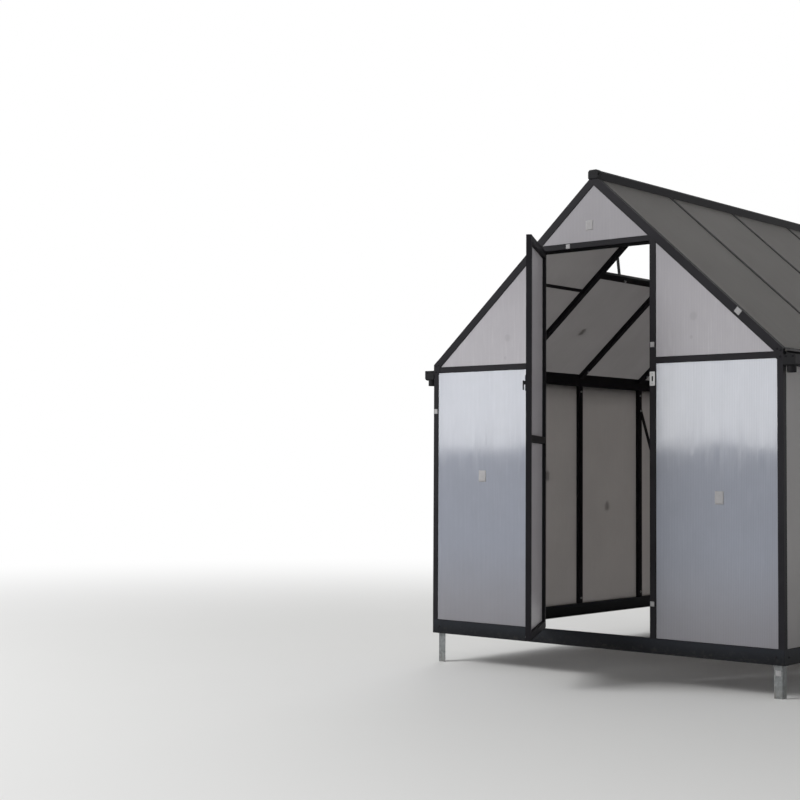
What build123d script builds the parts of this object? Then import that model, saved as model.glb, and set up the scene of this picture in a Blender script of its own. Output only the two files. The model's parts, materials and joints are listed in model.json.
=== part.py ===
from build123d import *
from math import cos, radians, sin, tan
import os

# Greenhouse of aluminium glazing bars and twin-wall polycarbonate, on a raised base.
# Its front gable faces -Y, its left is -X, and Z is up from the ground under its legs.

# overall sizes, millimetres
width = 1900
bay = 619
bay_count = 4
corner_inset = 25
leg_drop = 142
base_height = 66
eave_height = 1330
roof_pitch = 41.75

# panels and the grooves that hold them
panel = 6.0
glazing_gap = 0.4
edge_gap = 0.5
groove_depth = 10.0
skin = 2.0
groove = panel + glazing_gap
seat = skin + groove
web = 3.0

# glazing bars: the cap strip outside and the box inside
bar_cap = 22.0
bar_face = 37.0
bar_box = 18.6
bar_depth = seat + bar_box

# gable frame
post_face = 27.0
post_core = post_face - groove_depth
rake_face = 36.0
rake_core = rake_face - groove_depth
rake_depth = post_face
mitre_gap = 0.3
crossbar_face = 25.0
crossbar_drop = 39.5

# plates over the joints of post, crossbar and rake
plate_thickness = 1.5
plate_reach = 32.0
plate_bevel = 9.0

# doorway
door_width = 599.0
jamb_face = 30.0
jamb_depth = 27.0
header_drop = 19.3
header_face = 23.6

# folded base rail and its legs
base_return = 22.0
base_shelf = 32.0
base_lip = 16.0
leg_flange = 38.0
leg_thickness = 3.0

# eave beam and gutter
eave_drop = 53.0
roof_overhang = 12.0
gutter_width = 56.0
gutter_drop = 68.0
gutter_height = 40.0
gutter_lip = 6.0
gutter_back = 38.0
outlet_inset = 22.0
outlet_tray = 50.0
outlet_tray_height = 8.0
outlet_radius = 20.0
outlet_wall = 3.0
outlet_drop = 35.0
outlet_chamfer = 5.0

# ridge
ridge_half = 26.0
ridge_rise = 19.0
ridge_bevel = 8.0
ridge_core = 8.0
cap_proud = 6.0
cap_rise = 2.0
cap_drop = 19.0

# mid-slope purlins
purlin_slope = 611.0
purlin_face = 12.0

# roof vent, open on the left slope
vent_bay = 1
vent_sill_slope = 733.0
vent_overlap = 15.0
vent_angle = 40.0
vent_bar = 25.0
vent_thickness = 14.0
vent_side_gap = 3.0
vent_bead = 4.0
vent_bead_gap = 0.3
stay_width = 16.0
stay_thickness = 3.0
stay_along = 206.0
stay_reach = 410.0

# wind braces in the end bays
brace_width = 25.0
brace_thickness = 3.0
brace_drop = 160.0
brace_foot_inset = 82.0

# door leaf, hinged on the left jamb
door_open = 61.0
leaf_gap = 5.0
leaf_foot_gap = 8.0
leaf_thickness = 23.0
leaf_bar = 30.0
leaf_groove = 10.0
mid_rail_height = 948.5
hinge_proud = 8.0
hinge_inset = 2.5
hinge_end = 185.0
knuckle_radius = 5.5
knuckle_height = 22.0
knuckle_gap = 0.5
pin_radius = 3.0
pin_gap = 0.1
hinge_plate = 3.0
hinge_reach = 26.0
hinge_clear = 5.0

# latch and strike
latch_height = 1190.0
latch_plate_width = 24.0
latch_plate_height = 70.0
latch_plate_thickness = 3.0
latch_boss_radius = 9.0
latch_boss_height = 12.0
latch_lever_length = 42.0
latch_lever_width = 12.0
latch_lever_thickness = 5.0
strike_width = 27.0
strike_height = 63.0
strike_thickness = 2.0
strike_centre = 1221.0
strike_slot_width = 8.0
strike_slot_height = 24.0
strike_corner = 4.0

# worked out from the sizes above
pitch = radians(roof_pitch)
half_width = width / 2
length = bay_count * bay + 2 * corner_inset
base_bottom = leg_drop
base_top = base_bottom + base_height
eave_z = base_bottom + eave_height
apex_z = eave_z + half_width * tan(pitch)
eave_low = eave_z - eave_drop
door_half = door_width / 2
jamb_outer = door_half + jamb_face
header_z = apex_z - door_half * tan(pitch) - rake_face / cos(pitch) - header_drop
post_inner = half_width - post_face

# the door leaf's reach in front sets where the box's middle lies
leaf_turn = radians(door_open)
leaf_end = hinge_inset + door_width - 2 * leaf_gap
latch_centre = leaf_end - leaf_bar / 2
latch_reach = latch_plate_thickness + latch_boss_height - hinge_proud
lever_reach = (latch_centre + latch_lever_width / 2) * sin(leaf_turn) + latch_reach * cos(leaf_turn)
stile_reach = leaf_end * sin(leaf_turn) - hinge_proud * cos(leaf_turn)
front_reach = hinge_proud + max(lever_reach, stile_reach)
front_y = (front_reach - length - cap_proud) / 2
rear_y = front_y + length
hinge_x = -door_half + leaf_gap - hinge_inset
hinge_y = front_y - hinge_proud

bay_lines = [front_y + corner_inset + bay * i for i in range(bay_count + 1)]
middle = Plane(origin=(0, (front_y + rear_y) / 2, 0), z_dir=(0, 1, 0))

up_slope = Vector(-cos(pitch), 0, sin(pitch))
into_roof = Vector(-sin(pitch), 0, -cos(pitch))


def roof_z(x, depth):
    """Height of the roof at x, at a depth under its outer face."""
    return eave_z + (half_width - abs(x)) * tan(pitch) - depth / cos(pitch)


def rake_x(z, depth):
    """X on the right slope at height z, at a depth under its outer face."""
    return (apex_z - z - depth / cos(pitch)) / tan(pitch)


def roof_plane(depth):
    """Right slope: sketch x runs up it, sketch y is world Y, and it faces into the roof."""
    return Plane(
        origin=Vector(half_width, 0, eave_z) + into_roof * depth,
        x_dir=up_slope,
        z_dir=into_roof,
    )


def across_slope(y):
    """Square across the right slope: sketch x is world Y and sketch y goes into the roof."""
    return Plane(origin=(half_width, y, eave_z), x_dir=(0, 1, 0), z_dir=up_slope)


def gable_plane(y):
    """Facing -Y at y, with sketch x as world X and sketch y as world Z."""
    return Plane(origin=(0, y, 0), x_dir=(1, 0, 0), z_dir=(0, -1, 0))


def plate(low, high, mode=Mode.ADD):
    """Rectangle between two corners in the sketch that is open."""
    with Locations(((low[0] + high[0]) / 2, (low[1] + high[1]) / 2)):
        Rectangle(high[0] - low[0], high[1] - low[1], mode=mode)


def outline(*points, mode=Mode.ADD):
    """Filled polygon in the sketch that is open."""
    Polygon(*points, align=None, mode=mode)


def glazing_bar(cap=bar_cap, face=bar_face, hollow=True):
    """Bar with a groove down each side, its cap at sketch y 0 and its box inwards."""
    with BuildSketch() as section:
        plate((-cap / 2, 0), (cap / 2, skin))
        plate((-web / 2, skin), (web / 2, seat))
        plate((-face / 2, seat), (face / 2, bar_depth))
        if hollow:
            plate((skin - face / 2, seat + skin), (face / 2 - skin, bar_depth - skin), Mode.SUBTRACT)
    return section.sketch


def one_groove_bar(core, lip, depth):
    """Box whose one side carries a panel groove: core wide, then the lips, and depth deep."""
    with BuildSketch() as section:
        plate((0, 0), (core, depth))
        plate((core, 0), (core + lip, skin))
        plate((core, seat), (core + lip, seat + skin))
        plate((skin, skin), (core - skin, depth - skin), Mode.SUBTRACT)
    return section.sketch


def under_rakes(side):
    """Plane on the underside of a rake, facing down and into the house."""
    facing = Vector(-side * sin(pitch), 0, -cos(pitch))
    return Plane(origin=Vector(side * half_width, 0, eave_z) + facing * rake_face, z_dir=facing)


def save(part, name):
    part.label = name
    export_step(part, f"parts/{name}.step")


os.makedirs("parts", exist_ok=True)

# Base: four folded rails, mitred at the corners, with a trough for the lowest panel edges
with BuildSketch() as base_section:
    plate((0, 0), (skin, base_height))
    plate((0, 0), (base_return, skin))
    plate((0, base_height - groove_depth - skin), (seat + skin, base_height - groove_depth))
    plate((seat, base_height - groove_depth), (seat + skin, base_height))
    plate((seat, base_height - skin), (base_shelf, base_height))
    plate((base_shelf - skin, base_height - base_lip), (base_shelf, base_height))

front_right = Plane(origin=(half_width, front_y, 0), z_dir=(1, 1, 0))
front_left = Plane(origin=(-half_width, front_y, 0), z_dir=(-1, 1, 0))
rear_right = Plane(origin=(half_width, rear_y, 0), z_dir=(1, -1, 0))

with BuildPart() as base_sides:
    with BuildSketch(Plane(origin=(half_width, front_y, base_bottom), x_dir=(-1, 0, 0), z_dir=(0, 1, 0))):
        add(base_section.sketch)
    extrude(amount=length)
    split(bisect_by=front_right, keep=Keep.TOP)
    split(bisect_by=rear_right, keep=Keep.TOP)
    mirror(about=Plane.YZ)
save(base_sides.part, "base_sides")

with BuildPart() as base_ends:
    with BuildSketch(Plane(origin=(-half_width, front_y, base_bottom), x_dir=(0, 1, 0), z_dir=(1, 0, 0))):
        add(base_section.sketch)
    extrude(amount=width)
    split(bisect_by=front_right, keep=Keep.BOTTOM)
    split(bisect_by=front_left, keep=Keep.BOTTOM)
    mirror(about=middle)
save(base_ends.part, "base_ends")

# Legs: angles bolted inside the base corners, standing on the ground
leg_x = half_width - base_return
leg_y = front_y + base_return
leg_height = base_top - base_lip

with BuildPart() as corner_legs:
    with BuildSketch():
        plate((leg_x - leg_flange, leg_y), (leg_x, leg_y + leg_thickness))
        plate((leg_x - leg_thickness, leg_y), (leg_x, leg_y + leg_flange))
    extrude(amount=leg_height)
    mirror(about=Plane.YZ)
    mirror(about=middle)
save(corner_legs.part, "corner_legs")

# Corner posts: a square core with a groove for the gable panel and one for the wall panel
with BuildPart() as corner_posts:
    with BuildSketch(Plane(origin=(half_width, front_y, base_top), x_dir=(0, 1, 0), z_dir=(0, 0, 1))):
        plate((0, 0), (post_core, post_core))
        for near, far in ((0, skin), (seat, seat + skin)):
            plate((post_core, near), (post_face, far))
            plate((near, post_core), (far, post_face))
        plate((skin, skin), (post_core - skin, post_core - skin), Mode.SUBTRACT)
    extrude(amount=eave_height)
    split(bisect_by=under_rakes(1), keep=Keep.TOP)
    mirror(about=Plane.YZ)
    mirror(about=middle)
save(corner_posts.part, "corner_posts")

# Eave beams with the gutter on their outer side, in one extrusion for each wall
gutter_low = eave_z - gutter_drop
beam_inner = half_width - bar_depth
gutter_outer = half_width + gutter_width


def eave_outline():
    """Filled outline of the right eave beam, its top cut to the slope of the roof."""
    with BuildSketch() as section:
        outline(
            (half_width, eave_low),
            (half_width, roof_z(half_width, seat)),
            (beam_inner, roof_z(beam_inner, seat)),
            (beam_inner, eave_low),
        )
    return section.sketch


with BuildPart() as eave_gutter_right:
    with BuildSketch(gable_plane(rear_y - rake_depth)):
        add(eave_outline())
        plate(
            (half_width - seat, eave_low),
            (half_width - skin, eave_low + groove_depth),
            Mode.SUBTRACT,
        )
        plate(
            (beam_inner + skin, eave_low + skin),
            (half_width - seat - skin, roof_z(half_width, seat) - skin),
            Mode.SUBTRACT,
        )
    extrude(amount=length - 2 * rake_depth)
    with BuildSketch(gable_plane(rear_y)):
        plate((half_width, gutter_low), (half_width + skin, gutter_low + gutter_back))
        plate((half_width, gutter_low), (gutter_outer, gutter_low + skin))
        plate((gutter_outer - skin, gutter_low), (gutter_outer, gutter_low + gutter_height))
        plate(
            (gutter_outer - gutter_lip, gutter_low + gutter_height - skin),
            (gutter_outer, gutter_low + gutter_height),
        )
    extrude(amount=length)
    with BuildSketch(Plane.XY.offset(gutter_low)):
        for y in (front_y + outlet_inset, rear_y - outlet_inset):
            with Locations((half_width + gutter_width / 2, y)):
                Circle(outlet_radius - outlet_wall)
    extrude(amount=skin, mode=Mode.SUBTRACT)
save(eave_gutter_right.part, "eave_gutter_right")

with BuildPart() as eave_gutter_left:
    mirror(eave_gutter_right.part, about=Plane.YZ)
save(eave_gutter_left.part, "eave_gutter_left")

# Gutter ends: a moulded end plate and tray with a short spout
outlet_x = half_width + gutter_width / 2
outlet_y = front_y + outlet_inset
tray_low = gutter_low - outlet_tray_height

with BuildPart() as gutter_outlets:
    with BuildSketch(Plane.XY.offset(tray_low)):
        plate(
            (outlet_x - outlet_tray / 2, front_y - outlet_wall),
            (outlet_x + outlet_tray / 2, outlet_y + outlet_tray / 2),
        )
    extrude(amount=outlet_tray_height)
    lower_edges = gutter_outlets.edges().group_by(Axis.Z)[0]
    chamfer(lower_edges, outlet_chamfer)
    with BuildSketch(gable_plane(front_y)):
        plate((half_width, gutter_low), (gutter_outer, gutter_low + gutter_height))
    extrude(amount=outlet_wall)
    with BuildSketch(Plane.XY.offset(tray_low - outlet_drop + outlet_tray_height)):
        with Locations((outlet_x, outlet_y)):
            Circle(outlet_radius)
    extrude(amount=outlet_drop - outlet_tray_height)
    with BuildSketch(Plane.XY.offset(tray_low - outlet_drop + outlet_tray_height)):
        with Locations((outlet_x, outlet_y)):
            Circle(outlet_radius - outlet_wall)
    extrude(amount=outlet_drop, mode=Mode.SUBTRACT)
    mirror(about=Plane.YZ)
    mirror(about=middle)
save(gutter_outlets.part, "gutter_outlets")

# Ridge beam: a hood over both panels, a core between them and a hollow body under them
ridge_top = apex_z + ridge_rise
ridge_low = roof_z(ridge_half, bar_depth)

with BuildPart() as ridge_beam:
    with BuildSketch(gable_plane(rear_y - rake_depth)):
        outline(
            (0, ridge_top),
            (ridge_half - ridge_bevel, ridge_top),
            (ridge_half, ridge_top - ridge_bevel),
            (ridge_half, roof_z(ridge_half, skin)),
            (0, roof_z(0, skin)),
        )
        plate((0, ridge_low), (ridge_core, ridge_top - ridge_bevel))
        outline(
            (0, roof_z(0, seat)),
            (ridge_half, roof_z(ridge_half, seat)),
            (ridge_half, ridge_low),
            (0, ridge_low),
        )
        outline(
            (0, roof_z(0, seat + skin)),
            (ridge_half - skin, roof_z(ridge_half - skin, seat + skin)),
            (ridge_half - skin, ridge_low + skin),
            (0, ridge_low + skin),
            mode=Mode.SUBTRACT,
        )
        mirror(about=Plane.YZ)
    extrude(amount=length - 2 * rake_depth)
save(ridge_beam.part, "ridge_beam")

# Ridge caps: moulded ends that sit on the two rakes and close the hood
with BuildPart() as ridge_caps:
    with BuildSketch(gable_plane(front_y + rake_depth)):
        outline(
            (0, ridge_top + cap_rise),
            (ridge_half - ridge_bevel, ridge_top + cap_rise),
            (ridge_half, ridge_top + cap_rise - ridge_bevel),
            (ridge_half, roof_z(ridge_half, 0)),
            (0, apex_z),
        )
        mirror(about=Plane.YZ)
    extrude(amount=rake_depth)
    with BuildSketch(gable_plane(front_y)):
        outline(
            (0, ridge_top + cap_rise),
            (ridge_half - ridge_bevel, ridge_top + cap_rise),
            (ridge_half, ridge_top + cap_rise - ridge_bevel),
            (ridge_half, apex_z - cap_drop),
            (0, apex_z - cap_drop),
        )
        mirror(about=Plane.YZ)
    extrude(amount=cap_proud)
    mirror(about=middle)
save(ridge_caps.part, "ridge_caps")

# Rakes: the sloping gable bars, grooved for the gable panel and for the roof panel
slope_length = half_width / cos(pitch)
outside = Plane(origin=(half_width, 0, 0), z_dir=(1, 0, 0))
beside_ridge = Plane(origin=(ridge_half, 0, 0), z_dir=(1, 0, 0))
mitre = Plane(origin=(mitre_gap / 2, 0, 0), z_dir=(1, 0, 0))

with BuildPart() as front_rakes:
    with BuildSketch(across_slope(front_y).offset(-rake_face)):
        plate((0, 0), (post_core, rake_core))
        for near, far in ((0, skin), (seat, seat + skin)):
            plate((near, rake_core), (far, rake_face))
            plate((post_core, near), (rake_depth, far))
        plate((skin, skin), (post_core - skin, rake_core - skin), Mode.SUBTRACT)
    extrude(amount=slope_length + 2 * rake_face)
    split(bisect_by=outside, keep=Keep.BOTTOM)
    split(bisect_by=mitre, keep=Keep.TOP)
    mirror(about=Plane.YZ)
save(front_rakes.part, "front_rakes")

with BuildPart() as rear_rakes:
    mirror(front_rakes.part, about=middle)
save(rear_rakes.part, "rear_rakes")

# Wall studs and rafters: the same glazing bar on every bay line
with BuildPart() as wall_studs_right:
    for y in bay_lines[1:-1]:
        with BuildSketch(Plane(origin=(half_width, y, base_top), x_dir=(0, 1, 0), z_dir=(0, 0, 1))):
            add(glazing_bar())
        extrude(amount=eave_low - base_top)
save(wall_studs_right.part, "wall_studs_right")

with BuildPart() as wall_studs_left:
    mirror(wall_studs_right.part, about=Plane.YZ)
save(wall_studs_left.part, "wall_studs_left")

with BuildPart() as eave_block:
    with BuildSketch(gable_plane(rear_y)):
        add(eave_outline())
    extrude(amount=length)

with BuildPart() as rafters_right:
    for y in bay_lines[1:-1]:
        with BuildSketch(across_slope(y).offset(-rake_face)):
            add(glazing_bar())
        extrude(amount=slope_length + rake_face)
    split(bisect_by=outside, keep=Keep.BOTTOM)
    split(bisect_by=beside_ridge, keep=Keep.TOP)
    add(eave_block.part, mode=Mode.SUBTRACT)
    split(bisect_by=Plane.XY.offset(eave_low), keep=Keep.TOP)
save(rafters_right.part, "rafters_right")

with BuildPart() as rafters_left:
    mirror(rafters_right.part, about=Plane.YZ)
save(rafters_left.part, "rafters_left")

# Purlins: light bars under the roof panels, halfway up each slope
bay_clear = [
    (
        front_y + rake_depth if i == 0 else bay_lines[i] + bar_face / 2,
        rear_y - rake_depth if i == bay_count - 1 else bay_lines[i + 1] - bar_face / 2,
    )
    for i in range(bay_count)
]


def purlins(bays):
    with BuildPart() as bars:
        with BuildSketch(roof_plane(seat)):
            for i in bays:
                plate(
                    (purlin_slope - purlin_face / 2, bay_clear[i][0]),
                    (purlin_slope + purlin_face / 2, bay_clear[i][1]),
                )
        extrude(amount=purlin_face)
    return bars.part


with BuildPart() as purlins_right:
    add(purlins(range(bay_count)))
save(purlins_right.part, "purlins_right")

with BuildPart() as purlins_left:
    mirror(purlins([i for i in range(bay_count) if i != vent_bay]), about=Plane.YZ)
save(purlins_left.part, "purlins_left")

# Front gable: crossbars at the eave, the door jambs and the header over the doorway
crossbar_z = eave_z - crossbar_drop + crossbar_face / 2

with BuildPart() as front_crossbars:
    with BuildSketch(Plane(origin=(post_inner, front_y, crossbar_z), x_dir=(0, 0, 1), z_dir=(-1, 0, 0))):
        add(glazing_bar(crossbar_face, crossbar_face))
    extrude(amount=post_inner - jamb_outer)
    split(bisect_by=under_rakes(1), keep=Keep.TOP)
    mirror(about=Plane.YZ)
save(front_crossbars.part, "front_crossbars")

with BuildPart() as jamb_right:
    with BuildSketch(Plane(origin=(door_half, front_y, base_top))):
        add(one_groove_bar(jamb_face - groove_depth, groove_depth, jamb_depth))
    extrude(amount=apex_z - base_top)
    split(bisect_by=under_rakes(1), keep=Keep.TOP)
save(jamb_right.part, "jamb_right")

with BuildPart() as jamb_left:
    mirror(jamb_right.part, about=Plane.YZ)
save(jamb_left.part, "jamb_left")

header_core = header_face - groove_depth

with BuildPart() as door_header:
    with BuildSketch(Plane(origin=(-door_half, front_y, header_z), x_dir=(0, 1, 0), z_dir=(1, 0, 0))):
        plate((0, 0), (jamb_depth, header_core))
        plate((0, header_core), (skin, header_face))
        plate((seat, header_core), (seat + skin, header_face))
        plate((skin, skin), (jamb_depth - skin, header_core - skin), Mode.SUBTRACT)
    extrude(amount=door_width)
    split(bisect_by=under_rakes(1), keep=Keep.TOP)
    split(bisect_by=under_rakes(-1), keep=Keep.TOP)
save(door_header.part, "door_header")

# Corner plates: flat plates over each corner joint, bevelled under the crossbar
crossbar_low = crossbar_z - crossbar_face / 2
crossbar_high = crossbar_z + crossbar_face / 2
plate_head = Vector(half_width, 0, eave_z) + up_slope * plate_reach
plate_heel = plate_head + into_roof * rake_face

with BuildPart() as corner_plates:
    with BuildSketch(gable_plane(front_y)):
        outline(
            (half_width, crossbar_low - plate_bevel),
            (half_width, eave_z),
            (plate_head.X, plate_head.Z),
            (plate_heel.X, plate_heel.Z),
            (rake_x(crossbar_high, rake_face), crossbar_high),
            (post_inner - plate_bevel, crossbar_low),
            (post_inner, crossbar_low - plate_bevel),
        )
        mirror(about=Plane.YZ)
    extrude(amount=plate_thickness)
    mirror(about=middle)
save(corner_plates.part, "corner_plates")

# Rear gable: two studs from base to rake, and crossbars coped round them
rear_stud_x = door_half + jamb_face / 2


def rear_studs_solid(hollow):
    with BuildPart() as studs:
        with BuildSketch(Plane(origin=(rear_stud_x, rear_y, base_top), x_dir=(-1, 0, 0), z_dir=(0, 0, 1))):
            add(glazing_bar(hollow=hollow))
        extrude(amount=apex_z - base_top)
        split(bisect_by=under_rakes(1), keep=Keep.TOP)
        mirror(about=Plane.YZ)
    return studs.part


with BuildPart() as rear_studs:
    add(rear_studs_solid(hollow=True))
save(rear_studs.part, "rear_studs")

with BuildPart() as rear_crossbars:
    with BuildSketch(Plane(origin=(-post_inner, rear_y, crossbar_z), x_dir=(0, 0, 1), z_dir=(1, 0, 0))):
        add(glazing_bar(crossbar_face, crossbar_face))
    extrude(amount=2 * post_inner)
    add(rear_studs_solid(hollow=False), mode=Mode.SUBTRACT)
    split(bisect_by=under_rakes(1), keep=Keep.TOP)
    split(bisect_by=under_rakes(-1), keep=Keep.TOP)
save(rear_crossbars.part, "rear_crossbars")

# Panels: plain twin-wall sheets, each one edge_gap short of the bottom of its grooves
panel_low = base_top - groove_depth
bay_edges = [
    (
        front_y + post_core + edge_gap if i == 0 else bay_lines[i] + web / 2 + edge_gap,
        rear_y - post_core - edge_gap if i == bay_count - 1 else bay_lines[i + 1] - web / 2 - edge_gap,
    )
    for i in range(bay_count)
]

with BuildPart() as wall_panels_right:
    with BuildSketch(Plane(origin=(half_width - seat, 0, 0), x_dir=(0, 1, 0), z_dir=(1, 0, 0))):
        for near, far in bay_edges:
            plate((near, panel_low), (far, eave_low + groove_depth - edge_gap))
    extrude(amount=panel)
save(wall_panels_right.part, "wall_panels_right")

with BuildPart() as wall_panels_left:
    mirror(wall_panels_right.part, about=Plane.YZ)
save(wall_panels_left.part, "wall_panels_left")

roof_panel_top = (half_width - ridge_core - edge_gap - seat * sin(pitch)) / cos(pitch)


def roof_panels(tops):
    """Roof sheets of the right slope, each up to its own distance along the slope."""
    with BuildPart() as sheets:
        with BuildSketch(roof_plane(seat - panel)):
            for (near, far), top in zip(bay_edges, tops):
                plate((-roof_overhang, near), (top, far))
        extrude(amount=panel)
    return sheets.part


with BuildPart() as roof_panels_right:
    add(roof_panels([roof_panel_top] * bay_count))
save(roof_panels_right.part, "roof_panels_right")

below_vent = vent_sill_slope - web / 2 - edge_gap
tops_left = [below_vent if i == vent_bay else roof_panel_top for i in range(bay_count)]

with BuildPart() as roof_panels_left:
    mirror(roof_panels(tops_left), about=Plane.YZ)
save(roof_panels_left.part, "roof_panels_left")

lower_top = crossbar_z - web / 2 - edge_gap
upper_low = crossbar_z + web / 2 + edge_gap
jamb_edge = door_half + jamb_face - groove_depth + edge_gap
post_edge = half_width - post_core - edge_gap
rake_edge = rake_core + edge_gap

with BuildPart() as front_panels:
    with BuildSketch(gable_plane(front_y + seat)):
        plate((jamb_edge, panel_low), (post_edge, lower_top))
        mirror(about=Plane.YZ)
    extrude(amount=panel)
save(front_panels.part, "front_panels")

apex_panel_low = header_z + header_core + edge_gap
apex_panel_edge = door_half - edge_gap

with BuildPart() as front_gable_panels:
    with BuildSketch(gable_plane(front_y + seat)):
        outline(
            (jamb_edge, upper_low),
            (rake_x(upper_low, rake_edge), upper_low),
            (jamb_edge, roof_z(jamb_edge, rake_edge)),
        )
        mirror(about=Plane.YZ)
    extrude(amount=panel)
    with BuildSketch(gable_plane(front_y + seat)):
        outline(
            (0, apex_panel_low),
            (apex_panel_edge, apex_panel_low),
            (apex_panel_edge, roof_z(apex_panel_edge, rake_edge)),
            (0, roof_z(0, rake_edge)),
        )
        mirror(about=Plane.YZ)
    extrude(amount=panel)
save(front_gable_panels.part, "front_gable_panels")

stud_edge = web / 2 + edge_gap

with BuildPart() as rear_panels:
    with BuildSketch(gable_plane(rear_y - seat)):
        plate((-rear_stud_x + stud_edge, panel_low), (rear_stud_x - stud_edge, lower_top))
        plate((rear_stud_x + stud_edge, panel_low), (post_edge, lower_top))
        plate((-post_edge, panel_low), (-rear_stud_x - stud_edge, lower_top))
    extrude(amount=-panel)
save(rear_panels.part, "rear_panels")

with BuildPart() as rear_gable_panels:
    with BuildSketch(gable_plane(rear_y - seat)):
        outline(
            (rear_stud_x + stud_edge, upper_low),
            (rake_x(upper_low, rake_edge), upper_low),
            (rear_stud_x + stud_edge, roof_z(rear_stud_x + stud_edge, rake_edge)),
        )
        outline(
            (0, upper_low),
            (rear_stud_x - stud_edge, upper_low),
            (rear_stud_x - stud_edge, roof_z(rear_stud_x - stud_edge, rake_edge)),
            (0, roof_z(0, rake_edge)),
        )
        mirror(about=Plane.YZ)
    extrude(amount=-panel)
save(rear_gable_panels.part, "rear_gable_panels")

# Roof vent: a sill between two rafters, and a framed sheet propped open from the ridge
vent_near = bay_lines[vent_bay]
vent_far = bay_lines[vent_bay + 1]
sill_point = Vector(half_width, vent_far - web / 2, eave_z) + up_slope * vent_sill_slope

with BuildPart() as rafter_blocks:
    for y in (vent_near, vent_far):
        with BuildSketch(across_slope(y)):
            add(glazing_bar(hollow=False))
        extrude(amount=slope_length)

with BuildPart() as vent_sill:
    with BuildSketch(Plane(origin=sill_point, x_dir=up_slope, z_dir=(0, -1, 0))):
        add(glazing_bar())
    extrude(amount=bay - web)
    add(rafter_blocks.part, mode=Mode.SUBTRACT)
    mirror(about=Plane.YZ, mode=Mode.REPLACE)
save(vent_sill.part, "vent_sill")

vent_tilt = pitch - radians(vent_angle)
vent_hinge_x = ridge_half + vent_bead_gap + vent_bead
vent_hinge = Vector(vent_hinge_x, 0, roof_z(vent_hinge_x, 0))
vent_down = Vector(cos(vent_tilt), 0, -sin(vent_tilt))
vent_up = Vector(sin(vent_tilt), 0, cos(vent_tilt))
vent_length = (half_width - vent_hinge_x) / cos(pitch) - vent_sill_slope + vent_overlap
vent_side = bar_cap / 2 + vent_side_gap


def vent_plane(height):
    """Plane of the open vent: sketch x runs down it from its hinge, sketch y is world Y."""
    return Plane(origin=vent_hinge + vent_up * height, x_dir=vent_down, z_dir=vent_up)


with BuildPart() as vent_frame:
    with BuildSketch(vent_plane(-vent_thickness / 2)):
        plate((0, vent_near + vent_side), (vent_length, vent_far - vent_side))
        plate(
            (vent_bar, vent_near + vent_side + vent_bar),
            (vent_length - vent_bar, vent_far - vent_side - vent_bar),
            Mode.SUBTRACT,
        )
    extrude(amount=vent_thickness)
    with BuildSketch(Plane(origin=vent_hinge + Vector(0, vent_far - vent_side, 0), z_dir=(0, -1, 0))):
        Circle(vent_bead)
    extrude(amount=bay - 2 * vent_side)
    with BuildSketch(vent_plane(-groove / 2)):
        plate(
            (vent_bar - groove_depth, vent_near + vent_side + vent_bar - groove_depth),
            (vent_length - vent_bar + groove_depth, vent_far - vent_side - vent_bar + groove_depth),
        )
    extrude(amount=groove, mode=Mode.SUBTRACT)
    mirror(about=Plane.YZ, mode=Mode.REPLACE)
save(vent_frame.part, "vent_frame")

vent_edge = vent_bar - groove_depth + edge_gap

with BuildPart() as vent_panel:
    with BuildSketch(vent_plane(-groove / 2)):
        plate(
            (vent_edge, vent_near + vent_side + vent_edge),
            (vent_length - vent_edge, vent_far - vent_side - vent_edge),
        )
    extrude(amount=panel)
    mirror(about=Plane.YZ, mode=Mode.REPLACE)
save(vent_panel.part, "vent_panel")

# Stay: a flat bar from the sill to the underside of the vent, cut flush to both
stay_foot = Vector(half_width, 0, eave_z) + up_slope * vent_sill_slope
stay_head = vent_hinge + vent_down * stay_reach - vent_up * (vent_thickness / 2)
stay_line = stay_head - stay_foot
stay_plane = Plane(
    origin=stay_foot + Vector(0, vent_near + stay_along, 0),
    x_dir=stay_line,
    z_dir=(0, -1, 0),
)

with BuildPart() as vent_stay:
    with BuildSketch(stay_plane):
        plate((-stay_width, -stay_width / 2), (stay_line.length + stay_width, stay_width / 2))
    extrude(amount=stay_thickness)
    split(bisect_by=roof_plane(0), keep=Keep.BOTTOM)
    split(bisect_by=vent_plane(-vent_thickness / 2), keep=Keep.BOTTOM)
    mirror(about=Plane.YZ, mode=Mode.REPLACE)
save(vent_stay.part, "vent_stay")

# Wind braces: flat bars from the last stud to the base in the four end bays
brace_foot_y = rear_y - corner_inset - brace_foot_inset
brace_head_y = bay_lines[-2]
brace_head_z = eave_z - brace_drop
brace_run = brace_foot_y - brace_head_y
brace_rise = brace_head_z - base_top
brace_half = brace_width / 2 * (brace_run**2 + brace_rise**2) ** 0.5 / brace_rise

with BuildPart() as wind_braces:
    with BuildSketch(Plane(origin=(half_width - bar_depth, 0, 0), x_dir=(0, -1, 0), z_dir=(-1, 0, 0))):
        outline(
            (-brace_foot_y - brace_half, base_top),
            (-brace_foot_y + brace_half, base_top),
            (-brace_head_y + brace_half, brace_head_z),
            (-brace_head_y - brace_half, brace_head_z),
        )
    extrude(amount=brace_thickness)
    mirror(about=Plane.YZ)
    mirror(about=middle)
save(wind_braces.part, "wind_braces")

# Door: everything is drawn in the plane of the leaf, which stands open on its hinges
leaf_along = Vector(cos(leaf_turn), -sin(leaf_turn), 0)
leaf_into = Vector(sin(leaf_turn), cos(leaf_turn), 0)
hinge_axis = Vector(hinge_x, hinge_y, 0)
leaf_low = base_top + leaf_foot_gap
leaf_high = header_z - leaf_gap
leaf_back = hinge_proud + leaf_thickness


def leaf_plane(depth):
    """Plane of the leaf at a depth behind its hinge axis, facing out, with sketch y as world Z."""
    return Plane(origin=hinge_axis + leaf_into * depth, x_dir=leaf_along, z_dir=-leaf_into)


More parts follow.
